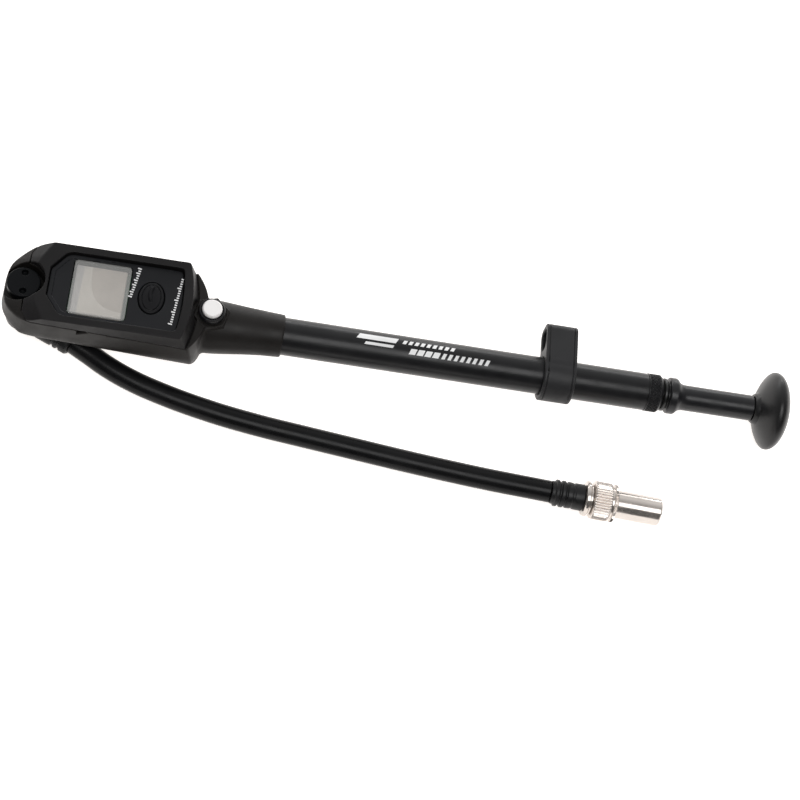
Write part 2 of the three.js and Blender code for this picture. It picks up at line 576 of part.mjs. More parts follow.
add(head, 'head_body', 'shell', headBody());
add(head, 'head_cover', 'cover', headCover());
add(gaugeFace, 'face_panel', 'panel', facePanel());
add(gaugeFace, 'display_lens', 'lens', displayLens());
add(gaugeFace, 'display_module', 'display', displayModule());
add(gaugeFace, 'mode_button', 'rubber', modeButton(), [MODE.x, 0, 0]);
add(electronics, 'circuit_board', 'board', circuitBoard());
add(electronics, 'mode_switch', 'steel', modeSwitch(), [MODE.x, 0, 0]);
add(electronics, 'pressure_sensor', 'steel', pressureSensor(), [SENSOR_X, 0, 0]);
add(battery, 'coin_cell', 'steel', coinCell());
add(battery, 'battery_door', 'shell', batteryDoor());
PILLARS.forEach(([x, y], i) => {
  const seat = screwSeatZ(x) - GAP;
  add(head, `cover_screw_${i + 1}`, 'steel', coverScrew(SCREW_TIP_Z - seat), [x, y, seat]);
});
add(swivel, 'swivel_elbow', 'anodised', swivelElbow());
add(swivel, 'swivel_ring_lower', 'rubber', swivelRing(), [0, 0, 11.75]);
add(swivel, 'swivel_ring_upper', 'rubber', swivelRing(), [0, 0, 16.15]);
add(swivel, 'swivel_plug', 'anodised', swivelPlug());
add(bleedValve, 'bleed_collar', 'anodised', bleedCollar());
add(bleedValve, 'bleed_button', 'satinSteel', bleedButton());
add(bleedValve, 'bleed_spring', 'steel', bleedSpring());
add(barrelLine, 'check_valve_seat', 'acetal', checkValveSeat());
add(barrelLine, 'check_valve_cup', 'rubber', checkValveCup());
add(barrelLine, 'barrel_tube', 'anodised', barrelTube());
add(barrelLine, 'barrel_ring', 'rubber', barrelRing());
add(barrelLine, 'end_cap', 'anodised', endCap());
add(barrelLine, 'rod_guide', 'acetal', rodGuide());
add(barrelLine, 'rod_wiper', 'rubber', rodWiper());
add(clipPlace, 'hose_clip', 'clip', hoseClip());
add(barrelLine, 'piston_head', 'acetal', pistonHead());
add(barrelLine, 'piston_ring', 'rubber', pistonRing());
add(barrelLine, 'piston_rod', 'steel', pistonRod());
add(barrelLine, 'top_out_ring', 'rubber', topOutRing());
add(barrelLine, 'bumper_ring', 'rubber', bumperRing());
add(barrelLine, 'handle_stem', 'handle', handleStem());
add(barrelLine, 'handle_knob', 'handle', handleKnob());
add(hoseExit, 'swivel_boot', 'rubber', swivelBoot());
add(pump, 'hose', 'hose', hose());
add(chuckLine, 'chuck_ferrule', 'rubber', chuckFerrule());
add(chuckLine, 'chuck_tail', 'nickel', chuckTail());
add(chuckLine, 'chuck_collar', 'nickel', chuckCollar());
add(chuckLine, 'chuck_gasket', 'rubber', chuckGasket());
add(chuckLine, 'chuck_pin', 'steel', chuckPin());

export default pump;
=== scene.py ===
"""The looks of a suspension pump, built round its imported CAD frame.

Sizes are millimetres unless a name ends in _M, and angles in outlines are degrees."""
import json
import math

import bpy
import numpy as np
from mathutils import Matrix, Vector


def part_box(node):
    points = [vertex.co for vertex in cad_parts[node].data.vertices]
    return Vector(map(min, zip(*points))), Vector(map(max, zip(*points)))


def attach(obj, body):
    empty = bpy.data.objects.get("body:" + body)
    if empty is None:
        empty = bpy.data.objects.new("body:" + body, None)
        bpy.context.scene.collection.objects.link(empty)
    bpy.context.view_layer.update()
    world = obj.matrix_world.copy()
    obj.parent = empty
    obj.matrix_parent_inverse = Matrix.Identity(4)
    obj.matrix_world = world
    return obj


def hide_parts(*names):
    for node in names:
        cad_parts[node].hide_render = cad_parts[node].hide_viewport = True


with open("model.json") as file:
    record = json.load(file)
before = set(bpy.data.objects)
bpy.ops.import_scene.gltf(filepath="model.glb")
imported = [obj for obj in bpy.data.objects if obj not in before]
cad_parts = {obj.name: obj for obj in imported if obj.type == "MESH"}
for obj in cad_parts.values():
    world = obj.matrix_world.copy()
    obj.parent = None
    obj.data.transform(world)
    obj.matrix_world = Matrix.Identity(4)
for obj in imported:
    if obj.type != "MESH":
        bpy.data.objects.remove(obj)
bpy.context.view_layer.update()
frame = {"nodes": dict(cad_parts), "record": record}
MM = 0.001


def mm_box(node):
    """Lowest and highest corner of a CAD node, in millimetres."""
    low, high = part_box(node)
    return np.array(low) / MM, np.array(high) / MM


# ---------------------------------------------------------------- driving dimensions

AXIS_Z = 14.0                                   # height of the barrel's axis
HEAD_HIGH = mm_box("head_body")[1]
PANEL_LOW, PANEL_HIGH = mm_box("face_panel")
NOSE_X, NOSE_LEAN = -7.2, math.radians(9)       # front of the nose, and how far it leans back
NOSE_UNDER = -1.5                               # its underside from the barrel's axis, before it leans
HALF_WIDTH = HEAD_HIGH[1]
NECK_END_X = HEAD_HIGH[0]
HEAD_END_X = 63.0
HEAD_END_RADII = [(12.0, 32.0), (22.7, 22.5)]   # height and plan radius: the end is rounder at the top
COVER_END_X, COVER_END_RADIUS = 57.0, 48.0
COVER_LEAN, COVER_END_Z = 0.34, 28.5            # the cover's end leans out under this height
COVER_TOP_Z = 28.8                              # at the neck
RAMP_Z, RAMP_SLOPE = 25.5, 0.66                 # top of the nose, at x = 0
RAMP_SHOULDER, RAMP_FALL = 7.5, 0.36            # where it starts to fall to the sides, and how steeply
PLUG_RADIUS = 5.67                              # the swivel's plug
WINDOW_X, WINDOW_HALF = (15.6, 35.5), 10.6
MODE_X, MODE_RX, MODE_RY = 43.0, 4.3, 6.0       # the mode button's oval
LAND_Z = 22.7                                   # shoulder under the bleed valve
BOTTOM_Z, BOTTOM_SLOPE = 9.16, -0.0631          # underside of the head
SEAM_Z, SEAM_SLOPE = 24.7, -0.049               # seam between the head's two halves
NOSE_SEAM_X = 1.0                               # where that seam crosses the nose
SEAM_GAP = 0.3
KEEL_HALF_WIDTH, KEEL_RADIUS = 15.5, 9.0        # rounded lower edges of the head
WELL_RADIUS, WELL_FLOOR_Z = 7.2, 20.0           # well in the head for the swivel's plug
SWIVEL_BORE = 4.0
HOSE_RELIEF_RADIUS, HOSE_RELIEF_Z = 28.0, 9.9   # room under the head for the turning hose
BLEED_X, BLEED_BORE = 63.9, 2.5
HEXAGON_RADIUS, HEXAGON_TURN = 6.4, 13          # nut round the bleed valve
BATTERY_X, DOOR_RADIUS, DOOR_HOLE, DOOR_RING = 40.0, 8.1, 8.4, 10.3
DOOR_Z, DOOR_TOP_Z = 5.2, 6.4
PILLAR_RADIUS, SCREW_RADIUS, SCREW_HEAD_RADIUS = 2.1, 1.35, 2.2
NOSE_ROUND, NECK_BORE = 4.6, 6.85
SEAT_Z = 26.2                                   # top of the body's half under the cover
PANEL_RIM_DROP = 0.25                           # the face panel's rim lies lower than its middle
COVER_ROOF = [(9.4, 28.2), (57.2, COVER_TOP_Z)]    # x and z: the cover's top rises towards the neck
BARREL_RADIUS = mm_box("barrel_tube")[1][1]
HOSE_ANGLE, ELBOW_Z = math.radians(-28), 4.6
HOSE_DIAMETER, BOOT_HEIGHT = 7.7, 0.76          # the boot's height is this share of its width
CHUCK_ANGLE, CHUCK_START = math.radians(-2.6), (189.0, -40.75, 6.7)

STEP = 1.0               # coarser surfaces while trying things
FACES_LEFT = 0.25                               # share of a carved piece's faces that thinning leaves


# ---------------------------------------------------------------- camera, light and floor

CAMERA_M = (0.05239, -0.31133, 0.59384)
CAMERA_AZIMUTH, CAMERA_ELEVATION = math.radians(15.27), math.radians(62.31)
CAMERA_ROLL = math.radians(22.15)
CAMERA_LENS, SENSOR_WIDTH = 85.07, 36
FRONT_LIGHT = {"centre": (0.16, -0.40, 0.95), "aim": (0.14, 0, 0), "size": (1.0, 0.5), "power": 7}
BACK_LIGHT = {"centre": (0.05, 0.9, 0.22), "aim": (0.13, 0, 0.01), "size": (1.4, 0.2), "power": 4}
TENT_STOPS = [(0.2, 1.0), (0.5, 0.28), (0.75, 0.04)]   # (place, grey): 0 is behind, 1 the camera's side
TENT_STRENGTH = 0.9
FLOOR_HALF_SIDE_M, FLOOR_DROP_M = 3.0, 0.0002
FLOOR_COLOUR, FLOOR_GLOW, FLOOR_GLOW_STRENGTH = (0.85, 0.85, 0.85), (1.0, 0.95, 0.91), 0.8


def add_camera():
    """Looks down at the pump from over its head, turned so that the barrel slopes down to the right."""
    a, e, k = CAMERA_AZIMUTH, CAMERA_ELEVATION, CAMERA_ROLL
    forward = Vector((math.sin(a) * math.cos(e), math.cos(a) * math.cos(e), -math.sin(e)))
    level = Vector((math.cos(a), -math.sin(a), 0))
    upright = level.cross(forward)
    right = math.cos(k) * level + math.sin(k) * upright
    up = -math.sin(k) * level + math.cos(k) * upright
    data = bpy.data.cameras.new("camera")
    data.sensor_width = SENSOR_WIDTH
    data.lens = CAMERA_LENS
    data.clip_start, data.clip_end = 0.01, 20
    camera = bpy.data.objects.new("camera", data)
    turn = Matrix((right, up, -forward)).transposed().to_4x4()
    camera.matrix_world = Matrix.Translation(CAMERA_M) @ turn
    bpy.context.scene.collection.objects.link(camera)
    bpy.context.scene.camera = camera


def add_softbox(name, centre, aim, size, power):
    """A rectangular lamp. Places and sizes are in metres, and power is in watts."""
    data = bpy.data.lights.new(name, "AREA")
    data.shape = "RECTANGLE"
    data.size, data.size_y = size
    data.energy = power
    light = bpy.data.objects.new(name, data)
    light.location = centre
    light.rotation_mode = "QUATERNION"
    light.rotation_quaternion = (Vector(aim) - Vector(centre)).to_track_quat("-Z", "Y")
    bpy.context.scene.collection.objects.link(light)


def add_world():
    """A tent that is white behind the pump and dark on the camera's side."""
    world = bpy.data.worlds.new("tent")
    bpy.context.scene.world = world
    world.use_nodes = True
    nodes, links = world.node_tree.nodes, world.node_tree.links
    background = nodes["Background"]
    where = nodes.new("ShaderNodeTexCoord")
    split = nodes.new("ShaderNodeSeparateXYZ")
    turn = nodes.new("ShaderNodeMapRange")
    turn.inputs["From Min"].default_value, turn.inputs["From Max"].default_value = 1, -1
    ramp = nodes.new("ShaderNodeValToRGB")
    links.new(where.outputs["Generated"], split.inputs[0])
    links.new(split.outputs["Y"], turn.inputs["Value"])
    links.new(turn.outputs["Result"], ramp.inputs["Fac"])
    links.new(ramp.outputs["Color"], background.inputs["Color"])
    stops = ramp.color_ramp.elements
    stops.new(0.5)
    for stop, (position, grey) in zip(stops, TENT_STOPS):
        stop.position = position
        stop.color = (grey, grey, grey, 1)
    background.inputs["Strength"].default_value = TENT_STRENGTH


def add_floor():
    """A pale floor that glows a little, as the white background of the photo does."""
    mesh = bpy.data.meshes.new("floor")
    side = FLOOR_HALF_SIDE_M
    corners = [(-side, -side, 0), (side, -side, 0), (side, side, 0), (-side, side, 0)]
    mesh.from_pydata(corners, [], [(0, 1, 2, 3)])
    floor = bpy.data.objects.new("floor", mesh)
    floor.location.z = -FLOOR_DROP_M
    material = bpy.data.materials.new("pale_floor")
    material.use_nodes = True
    shader = material.node_tree.nodes["Principled BSDF"]
    shader.inputs["Base Color"].default_value = (*FLOOR_COLOUR, 1)
    shader.inputs["Emission Color"].default_value = (*FLOOR_GLOW, 1)
    shader.inputs["Emission Strength"].default_value = FLOOR_GLOW_STRENGTH
    shader.inputs["Roughness"].default_value = 0.9
    shader.inputs["Specular IOR Level"].default_value = 0.0
    mesh.materials.append(material)
    bpy.context.scene.collection.objects.link(floor)


# ---------------------------------------------------------------- materials

def node(tree, kind, **values):
    """A new shader node with its properties set."""
    made = tree.nodes.new(kind)
    for name, value in values.items():
        setattr(made, name, value)
    return made


def noise(tree, scale, detail, roughness=0.5, stretch=(1, 1, 1)):
    """A noise over the piece's own coordinates; scale is in features per metre."""
    where = node(tree, "ShaderNodeTexCoord")
    mapping = node(tree, "ShaderNodeMapping")
    mapping.inputs["Scale"].default_value = stretch
    made = node(tree, "ShaderNodeTexNoise")
    made.inputs["Scale"].default_value = scale
    made.inputs["Detail"].default_value = detail
    made.inputs["Roughness"].default_value = roughness
    tree.links.new(where.outputs["Object"], mapping.inputs["Vector"])
    tree.links.new(mapping.outputs["Vector"], made.inputs["Vector"])
    return made.outputs["Fac"]


def ranged(tree, value, low, high, start=0.35, end=0.65):
    """The value mapped so that start becomes low, and end becomes high."""
    made = node(tree, "ShaderNodeMapRange")
    made.inputs["From Min"].default_value = start
    made.inputs["From Max"].default_value = end
    made.inputs["To Min"].default_value = low
    made.inputs["To Max"].default_value = high
    tree.links.new(value, made.inputs["Value"])
    return made.outputs["Result"]


def mixed(tree, factor, first, second):
    """A mix of two colours: each of first and second is a colour or a socket."""
    made = node(tree, "ShaderNodeMix", data_type="RGBA")
    tree.links.new(factor, made.inputs["Factor"])
    colour_inputs = [socket for socket in made.inputs if socket.type == "RGBA"]
    for socket, value in zip(colour_inputs, (first, second)):
        if isinstance(value, bpy.types.NodeSocket):
            tree.links.new(value, socket)
        else:
            socket.default_value = (*value, 1)
    return made.outputs["Result"]


def bumped(tree, layers):
    """Stacked bumps: layers are (height socket, depth in millimetres). Returns the normal."""
    normal = None
    for height, depth in layers:
        bump = node(tree, "ShaderNodeBump")
        bump.inputs["Strength"].default_value = 1.0
        bump.inputs["Distance"].default_value = depth * MM
        tree.links.new(height, bump.inputs["Height"])
        if normal is not None:
            tree.links.new(normal, bump.inputs["Normal"])
        normal = bump.outputs["Normal"]
    return normal


def finish_of(name, dark, light, roughness, metallic=0.0, grain=(), stretch=(1, 1, 1), patch=60,
              specular=0.4):
    """A procedural surface: two shades in soft patches, roughness that varies, and layers of fine grain.

    roughness is (low, high), and patch is patches per metre. Each layer of grain is (features per metre,
    depth in millimetres), and stretch scales all of them along x, y and z."""
    material = bpy.data.materials.new(name)
    material.use_nodes = True
    tree = material.node_tree
    shader = tree.nodes["Principled BSDF"]
    shader.inputs["Metallic"].default_value = metallic
    shader.inputs["Specular IOR Level"].default_value = specular
    patches = noise(tree, patch, 4)
    tree.links.new(mixed(tree, ranged(tree, patches, 0, 1), dark, light), shader.inputs["Base Color"])
    tree.links.new(ranged(tree, noise(tree, patch * 3, 3), *roughness), shader.inputs["Roughness"])
    layers = [(noise(tree, scale, 2, 0.6, stretch), depth) for scale, depth in grain]
    if layers:
        tree.links.new(bumped(tree, layers), shader.inputs["Normal"])
    return material


MATERIALS = {
    "shell": finish_of("moulded_shell", (0.0091, 0.0080, 0.0072), (0.0122, 0.0109, 0.0101), (0.42, 0.52),
                       grain=[(2600, 0.012)], specular=0.18),
    "cover": finish_of("moulded_cover", (0.0078, 0.0073, 0.0077), (0.0106, 0.0101, 0.0104), (0.42, 0.52),
                       grain=[(2600, 0.012)], specular=0.16),
    "panel": finish_of("face_film", (0.0097, 0.0102, 0.0119), (0.0125, 0.0130, 0.0146), (0.36, 0.44),
                       grain=[(4000, 0.004)], specular=0.16),
    "button": finish_of("soft_button", (0.0076, 0.0076, 0.0086), (0.0102, 0.0102, 0.0114), (0.42, 0.5),
                        grain=[(4000, 0.004)], specular=0.12),
    "anodised": finish_of("black_anodised", (0.0063, 0.0063, 0.0071), (0.0087, 0.0087, 0.0099), (0.3, 0.4),
                          grain=[(3000, 0.006)], specular=0.3),
    "plug": finish_of("plug_anodised", (0.0043, 0.0048, 0.0056), (0.0056, 0.0060, 0.0069), (0.35, 0.42),
                      grain=[(3000, 0.006)], specular=0.08),
    "barrel": finish_of("blasted_barrel", (0.0078, 0.0078, 0.0086), (0.0099, 0.0099, 0.0108), (0.28, 0.36),
                        grain=[(2400, 0.02), (900, 0.01)], specular=0.26),
    "handle": finish_of("blasted_handle", (0.0086, 0.0086, 0.0099), (0.0112, 0.0112, 0.0125), (0.28, 0.36),
                        grain=[(2400, 0.02)], specular=0.32),
    "knob": finish_of("smooth_knob", (0.0079, 0.0079, 0.0084), (0.0103, 0.0103, 0.0107), (0.3, 0.38),
                      grain=[(3500, 0.004)], specular=0.3),
    "clip": finish_of("moulded_clip", (0.0130, 0.0130, 0.0143), (0.0181, 0.0181, 0.0194), (0.45, 0.55),
                      grain=[(2200, 0.016)], specular=0.28),
    "hose": finish_of("hose_skin", (0.0039, 0.0039, 0.0043), (0.0060, 0.0060, 0.0065), (0.26, 0.34),
                      grain=[(1500, 0.006)], specular=0.15),
    "boot": finish_of("boot_rubber", (0.0046, 0.0046, 0.0052), (0.0069, 0.0069, 0.0075), (0.38, 0.48),
                      grain=[(2500, 0.008)], specular=0.3),
    "seal": finish_of("seal_rubber", (0.0043, 0.0043, 0.0043), (0.0072, 0.0072, 0.0072), (0.3, 0.42),
                      grain=[(3000, 0.004)]),
    "nickel": finish_of("bright_nickel", (0.60, 0.55, 0.51), (0.66, 0.61, 0.57), (0.16, 0.24), metallic=0.85,
                        grain=[(600, 0.002)], stretch=(0.1, 4, 4)),
    "steel": finish_of("bright_steel", (0.50, 0.51, 0.52), (0.60, 0.61, 0.62), (0.2, 0.32), metallic=1.0,
                       grain=[(1500, 0.002)], stretch=(0.1, 1, 1)),
    # Near-white base with little metal: a painted sheen that stands in for the bright reflection off the
    # turned bleed button.
    "satin_steel": finish_of("turned_steel_painted_sheen", (0.88, 0.86, 0.85), (0.93, 0.91, 0.90), (0.3, 0.42),
                             metallic=0.25, grain=[(3000, 0.002)]),
    "acetal": finish_of("machined_acetal", (0.68, 0.67, 0.62), (0.76, 0.75, 0.70), (0.4, 0.5),
                        grain=[(1800, 0.004)]),
    "board": finish_of("solder_mask", (0.010, 0.07, 0.03), (0.015, 0.10, 0.04), (0.25, 0.35),
                       grain=[(1200, 0.01)]),
    "print": finish_of("white_print", (0.72, 0.72, 0.72), (0.82, 0.82, 0.82), (0.4, 0.5),
                       grain=[(3000, 0.004)]),
}


def maths(tree, operation, first, second=None):
    """One arithmetic node: each of first and second is a number or a socket."""
    made = node(tree, "ShaderNodeMath", operation=operation)
    for socket, value in zip(made.inputs, (first, second)):
        if isinstance(value, bpy.types.NodeSocket):
            tree.links.new(value, socket)
        elif value is not None:
            socket.default_value = value
    return made.outputs["Value"]


FIELD_CENTRE, FIELD_HALF = (36.0, 9.0), (14.1, 16.1)    # the display's darker field
STRIP_EDGE, STRIP_SLOPE = (18.8, 19.3), 0.02            # the strip along its front edge


def display_glass():
    """The unlit display under its film: a light frame, a darker field with one round corner, and a strip."""
    material = bpy.data.materials.new("unlit_display")
    material.use_nodes = True
    tree = material.node_tree
    shader = tree.nodes["Principled BSDF"]
    split = node(tree, "ShaderNodeSeparateXYZ")
    tree.links.new(node(tree, "ShaderNodeTexCoord").outputs["Object"], split.inputs[0])
    x, y = (maths(tree, "MULTIPLY", split.outputs[axis], 1 / MM) for axis in "XY")
    bows = []
    for value, centre, half in zip((x, y), FIELD_CENTRE, FIELD_HALF):
        share = maths(tree, "DIVIDE", maths(tree, "SUBTRACT", value, centre), half)
        bows.append(maths(tree, "POWER", maths(tree, "ABSOLUTE", share), 3.0))
    field = ranged(tree, maths(tree, "ADD", *bows), 1, 0, 0.94, 0.98)
    lean = maths(tree, "MULTIPLY", y, STRIP_SLOPE)
    strip = ranged(tree, maths(tree, "SUBTRACT", x, lean), 1, 0, *STRIP_EDGE)
    cloud = ranged(tree, noise(tree, 90, 4), 0, 1, 0.4, 0.7)
    light = mixed(tree, cloud, (0.40, 0.365, 0.32), (0.45, 0.415, 0.365))
    dark = mixed(tree, cloud, (0.31, 0.27, 0.23), (0.355, 0.31, 0.265))
    screen = mixed(tree, field, light, dark)
    screen = mixed(tree, strip, screen, (0.30, 0.285, 0.275))
    tree.links.new(screen, shader.inputs["Base Color"])
    tree.links.new(ranged(tree, noise(tree, 300, 3), 0.3, 0.4), shader.inputs["Roughness"])
    return material


def clear_film():
    """The clear window over the display."""
    material = finish_of("clear_window", (0.80, 0.80, 0.78), (0.85, 0.85, 0.83), (0.05, 0.09), patch=40)
    material.node_tree.nodes["Principled BSDF"].inputs["Alpha"].default_value = 0.16
    return material


MATERIALS["display"] = display_glass()
MATERIALS["lens"] = clear_film()


# ---------------------------------------------------------------- mesh kit

def piece(name, vertices, faces, body, slot, replaces=(), sharp=None):
    """A mesh piece from millimetre vertices, riding on a body. Edges over sharp degrees stay sharp."""
    mesh = bpy.data.meshes.new(name)
    points = [tuple(v) for v in np.asarray(vertices) * MM]
    mesh.from_pydata(points, [], [tuple(int(i) for i in f) for f in faces])
    mesh.validate()
    mesh.shade_smooth()
    if sharp:
        mesh.set_sharp_from_angle(angle=math.radians(sharp))
    made = bpy.data.objects.new(name, mesh)
    bpy.context.scene.collection.objects.link(made)
    mesh.materials.append(MATERIALS[slot])
    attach(made, body)
    if replaces:
        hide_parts(*replaces)
    return made


def bend(start, control, end, count=6):
    """Points of a quadratic curve, without its first point."""
    start, control, end = np.array(start), np.array(control), np.array(end)
    made = []
    for t in np.linspace(0, 1, count + 1)[1:]:
        made.append(tuple((1 - t) ** 2 * start + 2 * t * (1 - t) * control + t * t * end))
    return made


def rounded(profile, radius, count=5):
    """An open outline with its inner corners rounded as far as the neighbouring lengths allow."""
    made = [profile[0]]
    for before, at, after in zip(profile, profile[1:], profile[2:]):
        before, at, after = (np.array(p, float) for p in (before, at, after))
        a, b = before - at, after - at
        la, lb = np.linalg.norm(a), np.linalg.norm(b)
        half = math.acos(np.clip(a @ b / (la * lb), -1, 1)) / 2
        reach = min(radius / math.tan(half) if half > 0.01 else 0, 0.45 * la, 0.45 * lb)
        if half > 1.55 or reach < 0.01:
            made.append(tuple(at))
            continue
        p, q = at + a / la * reach, at + b / lb * reach
        made.append(tuple(p))
        made += bend(p, at, q, count)
    made.append(profile[-1])
    return made


BARREL_AXIS = Matrix.Translation((0, 0, AXIS_Z))
CHUCK_AXIS = Matrix.Translation(CHUCK_START) @ Matrix.Rotation(CHUCK_ANGLE, 4, "Z")
HOSE_EXIT_AXIS = Matrix.Translation((0, 0, ELBOW_Z)) @ Matrix.Rotation(HOSE_ANGLE, 4, "Z")


def upright_axis(x):
    """A turning axis along +Z at (x, 0)."""
    return Matrix.Translation((x, 0, 0)) @ Matrix.Rotation(-math.pi / 2, 4, "Y")


def turned(name, profile, axis, body, slot, replaces=(), segments=96, relief=None, sharp=35):
    """A piece turned about an axis.

    profile holds (distance along the axis, radius), and relief(along, turn) adds to the radius.
    A profile that starts and ends off the axis is closed into a ring."""
    profile = np.array(profile, float)
    closed = profile[0, 1] > 1e-6
    if closed:
        profile = np.vstack([profile, profile[:1]])
    turn = np.linspace(0, 2 * np.pi, segments, endpoint=False)
    along, radius = profile[:, :1], profile[:, 1:]
    if relief is not None:
        radius = radius + relief(along, turn[None, :])
    radius = np.broadcast_to(radius, (len(profile), segments))
    along = np.broadcast_to(along, radius.shape)
    points = np.stack([along, radius * np.cos(turn), radius * np.sin(turn)], -1).reshape(-1, 3)
    matrix = np.array(axis)
    points = points @ matrix[:3, :3].T + matrix[:3, 3]
    faces = []
    rows = len(profile) - 1
    for i in range(rows):
        after = (i + 1) % rows if closed else i + 1
        for j in range(segments):
            k = (j + 1) % segments
            quad = [i * segments + j, i * segments + k, after * segments + k, after * segments + j]
            if not closed and i == 0:
                quad = [0, *quad[2:]]
            elif not closed and i == rows - 1:
                quad = [*quad[:2], after * segments]
            faces.append(quad)
    used = sorted({i for f in faces for i in f})
    place = {old: new for new, old in enumerate(used)}
    faces = [[place[i] for i in f][::-1] for f in faces]
    return piece(name, points[used], faces, body, slot, replaces, sharp=sharp)


# Distance fields: negative inside, in millimetres.

def outline_distance(points, u, v):
    """Distance to a closed outline in a plane."""
    shape = np.broadcast(u, v).shape
    nearest = np.full(shape, 1e9)
    inside = np.zeros(shape, bool)
    for (u0, v0), (u1, v1) in zip(points, [*points[1:], points[0]]):
        du, dv = u1 - u0, v1 - v0
        t = np.clip(((u - u0) * du + (v - v0) * dv) / (du * du + dv * dv + 1e-12), 0, 1)
        nearest = np.minimum(nearest, (u - u0 - t * du) ** 2 + (v - v0 - t * dv) ** 2)
        if abs(dv) > 1e-9:
            inside ^= (np.minimum(v0, v1) <= v) & (v < max(v0, v1)) & (u < u0 + (v - v0) * du / dv)
    return np.where(inside, -1, 1) * np.sqrt(nearest)


def both(a, b, radius=0.01):
    """Where a and b overlap, with the edge between them rounded."""
    corner = np.hypot(np.maximum(a + radius, 0), np.maximum(b + radius, 0))
    return np.minimum(-radius, np.maximum(a, b)) + corner


def either(a, b, radius=0.01):
    """a and b together, with a fillet between them."""
    return -both(-a, -b, radius)


def without(a, b, radius=0.01):
    """a with b cut out of it."""
    return both(a, -b, radius)


def slab(value, low, high, radius=0.01):
    """Everywhere that value lies between low and high."""
    return both(low - value, value - high, radius)


def solid_of(distance, low, high, step):
    """The surface of a distance field inside a box: vertices and faces, by surface nets."""
    counts = np.ceil((np.array(high) - low) / step).astype(int) + 1
    lines = [low[i] + step * np.arange(counts[i]) for i in range(3)]
    x, y, z = lines[0][:, None, None], lines[1][None, :, None], lines[2][None, None, :]
    field = np.broadcast_to(distance(x, y, z), counts).astype(np.float32)
    inside = field < 0
    corners = [(i, j, k) for i in (0, 1) for j in (0, 1) for k in (0, 1)]
    cells = tuple(n - 1 for n in counts)

    def at(array, offset):
        return array[tuple(slice(o, o + n) for o, n in zip(offset, cells))]

    filled = sum(at(inside, c).astype(np.int8) for c in corners)
    active = (filled > 0) & (filled < 8)
    index = np.full(cells, -1, np.int64)
    where = np.argwhere(active)
    index[active] = np.arange(len(where))
    total, hits = np.zeros((len(where), 3)), np.zeros(len(where))
    for axis in range(3):
        for start in corners:
            if start[axis]:
                continue
            end = tuple(1 if i == axis else start[i] for i in range(3))
            a, b = at(field, start)[active], at(field, end)[active]
            cross = (a < 0) != (b < 0)
            t = np.where(cross, a / np.where(cross, a - b, 1), 0)
            point = np.array(start, float) + t[:, None] * np.eye(3)[axis]
            total += point * cross[:, None]
            hits += cross
    vertices = (where + total / hits[:, None]) * step + low
    faces = []
    for axis in range(3):
        u, v = [i for i in range(3) if i != axis]
        first = tuple(slice(0, n - 1) if i == axis else slice(1, n - 1) for i, n in enumerate(counts))
        second = tuple(slice(1, n) if i == axis else slice(1, n - 1) for i, n in enumerate(counts))
        starts, ends = inside[first], inside[second]
        edges = np.argwhere(starts != ends)
        leaving = starts[starts != ends]
        base = edges.copy()
        for i in (u, v):
            base[:, i] += 1
        quad = []
        for du, dv in ((-1, -1), (0, -1), (0, 0), (-1, 0)):
            cell = base.copy()
            cell[:, u] += du
            cell[:, v] += dv
            quad.append(index[cell[:, 0], cell[:, 1], cell[:, 2]])
        quad = np.stack(quad, 1)
        flip = leaving if axis != 1 else ~leaving
        quad[~flip] = quad[~flip][:, ::-1]
        faces.append(quad)
    return vertices, np.vstack(faces)


def slope_of(distance, points, reach=0.02):
    """How fast the field grows along x, y and z at each point."""
    slopes = []
    for e in np.eye(3):
        rise = distance(*(points + reach * e).T) - distance(*(points - reach * e).T)
        slopes.append(rise / (2 * reach))
    return np.stack(slopes, 1)


def on_surface(distance, points):
    """Points moved onto the surface in three steps, and the field's direction there."""
    for _ in range(3):
        value = distance(*points.T)
        slope = slope_of(distance, points)
        size = np.maximum(np.linalg.norm(slope, axis=1), 0.3)
        points = points - np.clip(value / size, -0.2, 0.2)[:, None] * slope / size[:, None]
    return points, slope / np.maximum(np.linalg.norm(slope, axis=1), 1e-6)[:, None]


def carved(name, distance, low, high, step, body, slot, replaces):
    """A piece from a distance field. It is thinned where it is flat, to a share of its faces."""
    step *= STEP
    margin = 2 * step
    vertices, faces = solid_of(distance, np.array(low) - margin, np.array(high) + margin, step)
    made = piece(name, vertices, faces, body, slot, replaces)
    thin = made.modifiers.new("thin", "DECIMATE")
    thin.ratio = FACES_LEFT
    evaluated = made.evaluated_get(bpy.context.evaluated_depsgraph_get())
    mesh = bpy.data.meshes.new_from_object(evaluated)
    made.modifiers.clear()
    made.data = mesh
    points = np.array([v.co for v in mesh.vertices]) / MM
    points, normals = on_surface(distance, points)
    mesh.vertices.foreach_set("co", (points * MM).astype(np.float32).ravel())
    mesh.shade_smooth()
    mesh.normals_split_custom_set_from_vertices([tuple(n) for n in normals])
    mesh.update()
    return made


HOME = {node: body for body, nodes in frame["record"]["behaviour"]["bodies"].items() for node in nodes}
SLOT = {part["node"]: part["material_slot"] for part in frame["record"]["subparts"]}


def shape_turned(node, profile, axis, **more):
    """A turned piece that stands in for a CAD node."""
    return turned(f"{node}_form", profile, axis, HOME[node], SLOT[node], replaces=[node], **more)


def shape_carved(node, distance, step):
    """A carved piece that stands in for a CAD node."""
    low, high = mm_box(node)
    return carved(f"{node}_form", distance, low, high, step, HOME[node], SLOT[node], replaces=[node])


# ---------------------------------------------------------------- gauge head

def seam_z(x):
    """Height of the seam between the head's two halves."""
    return SEAM_Z + SEAM_SLOPE * x


def bottom_z(x):
    """Height of the head's underside."""
    return BOTTOM_Z + BOTTOM_SLOPE * x


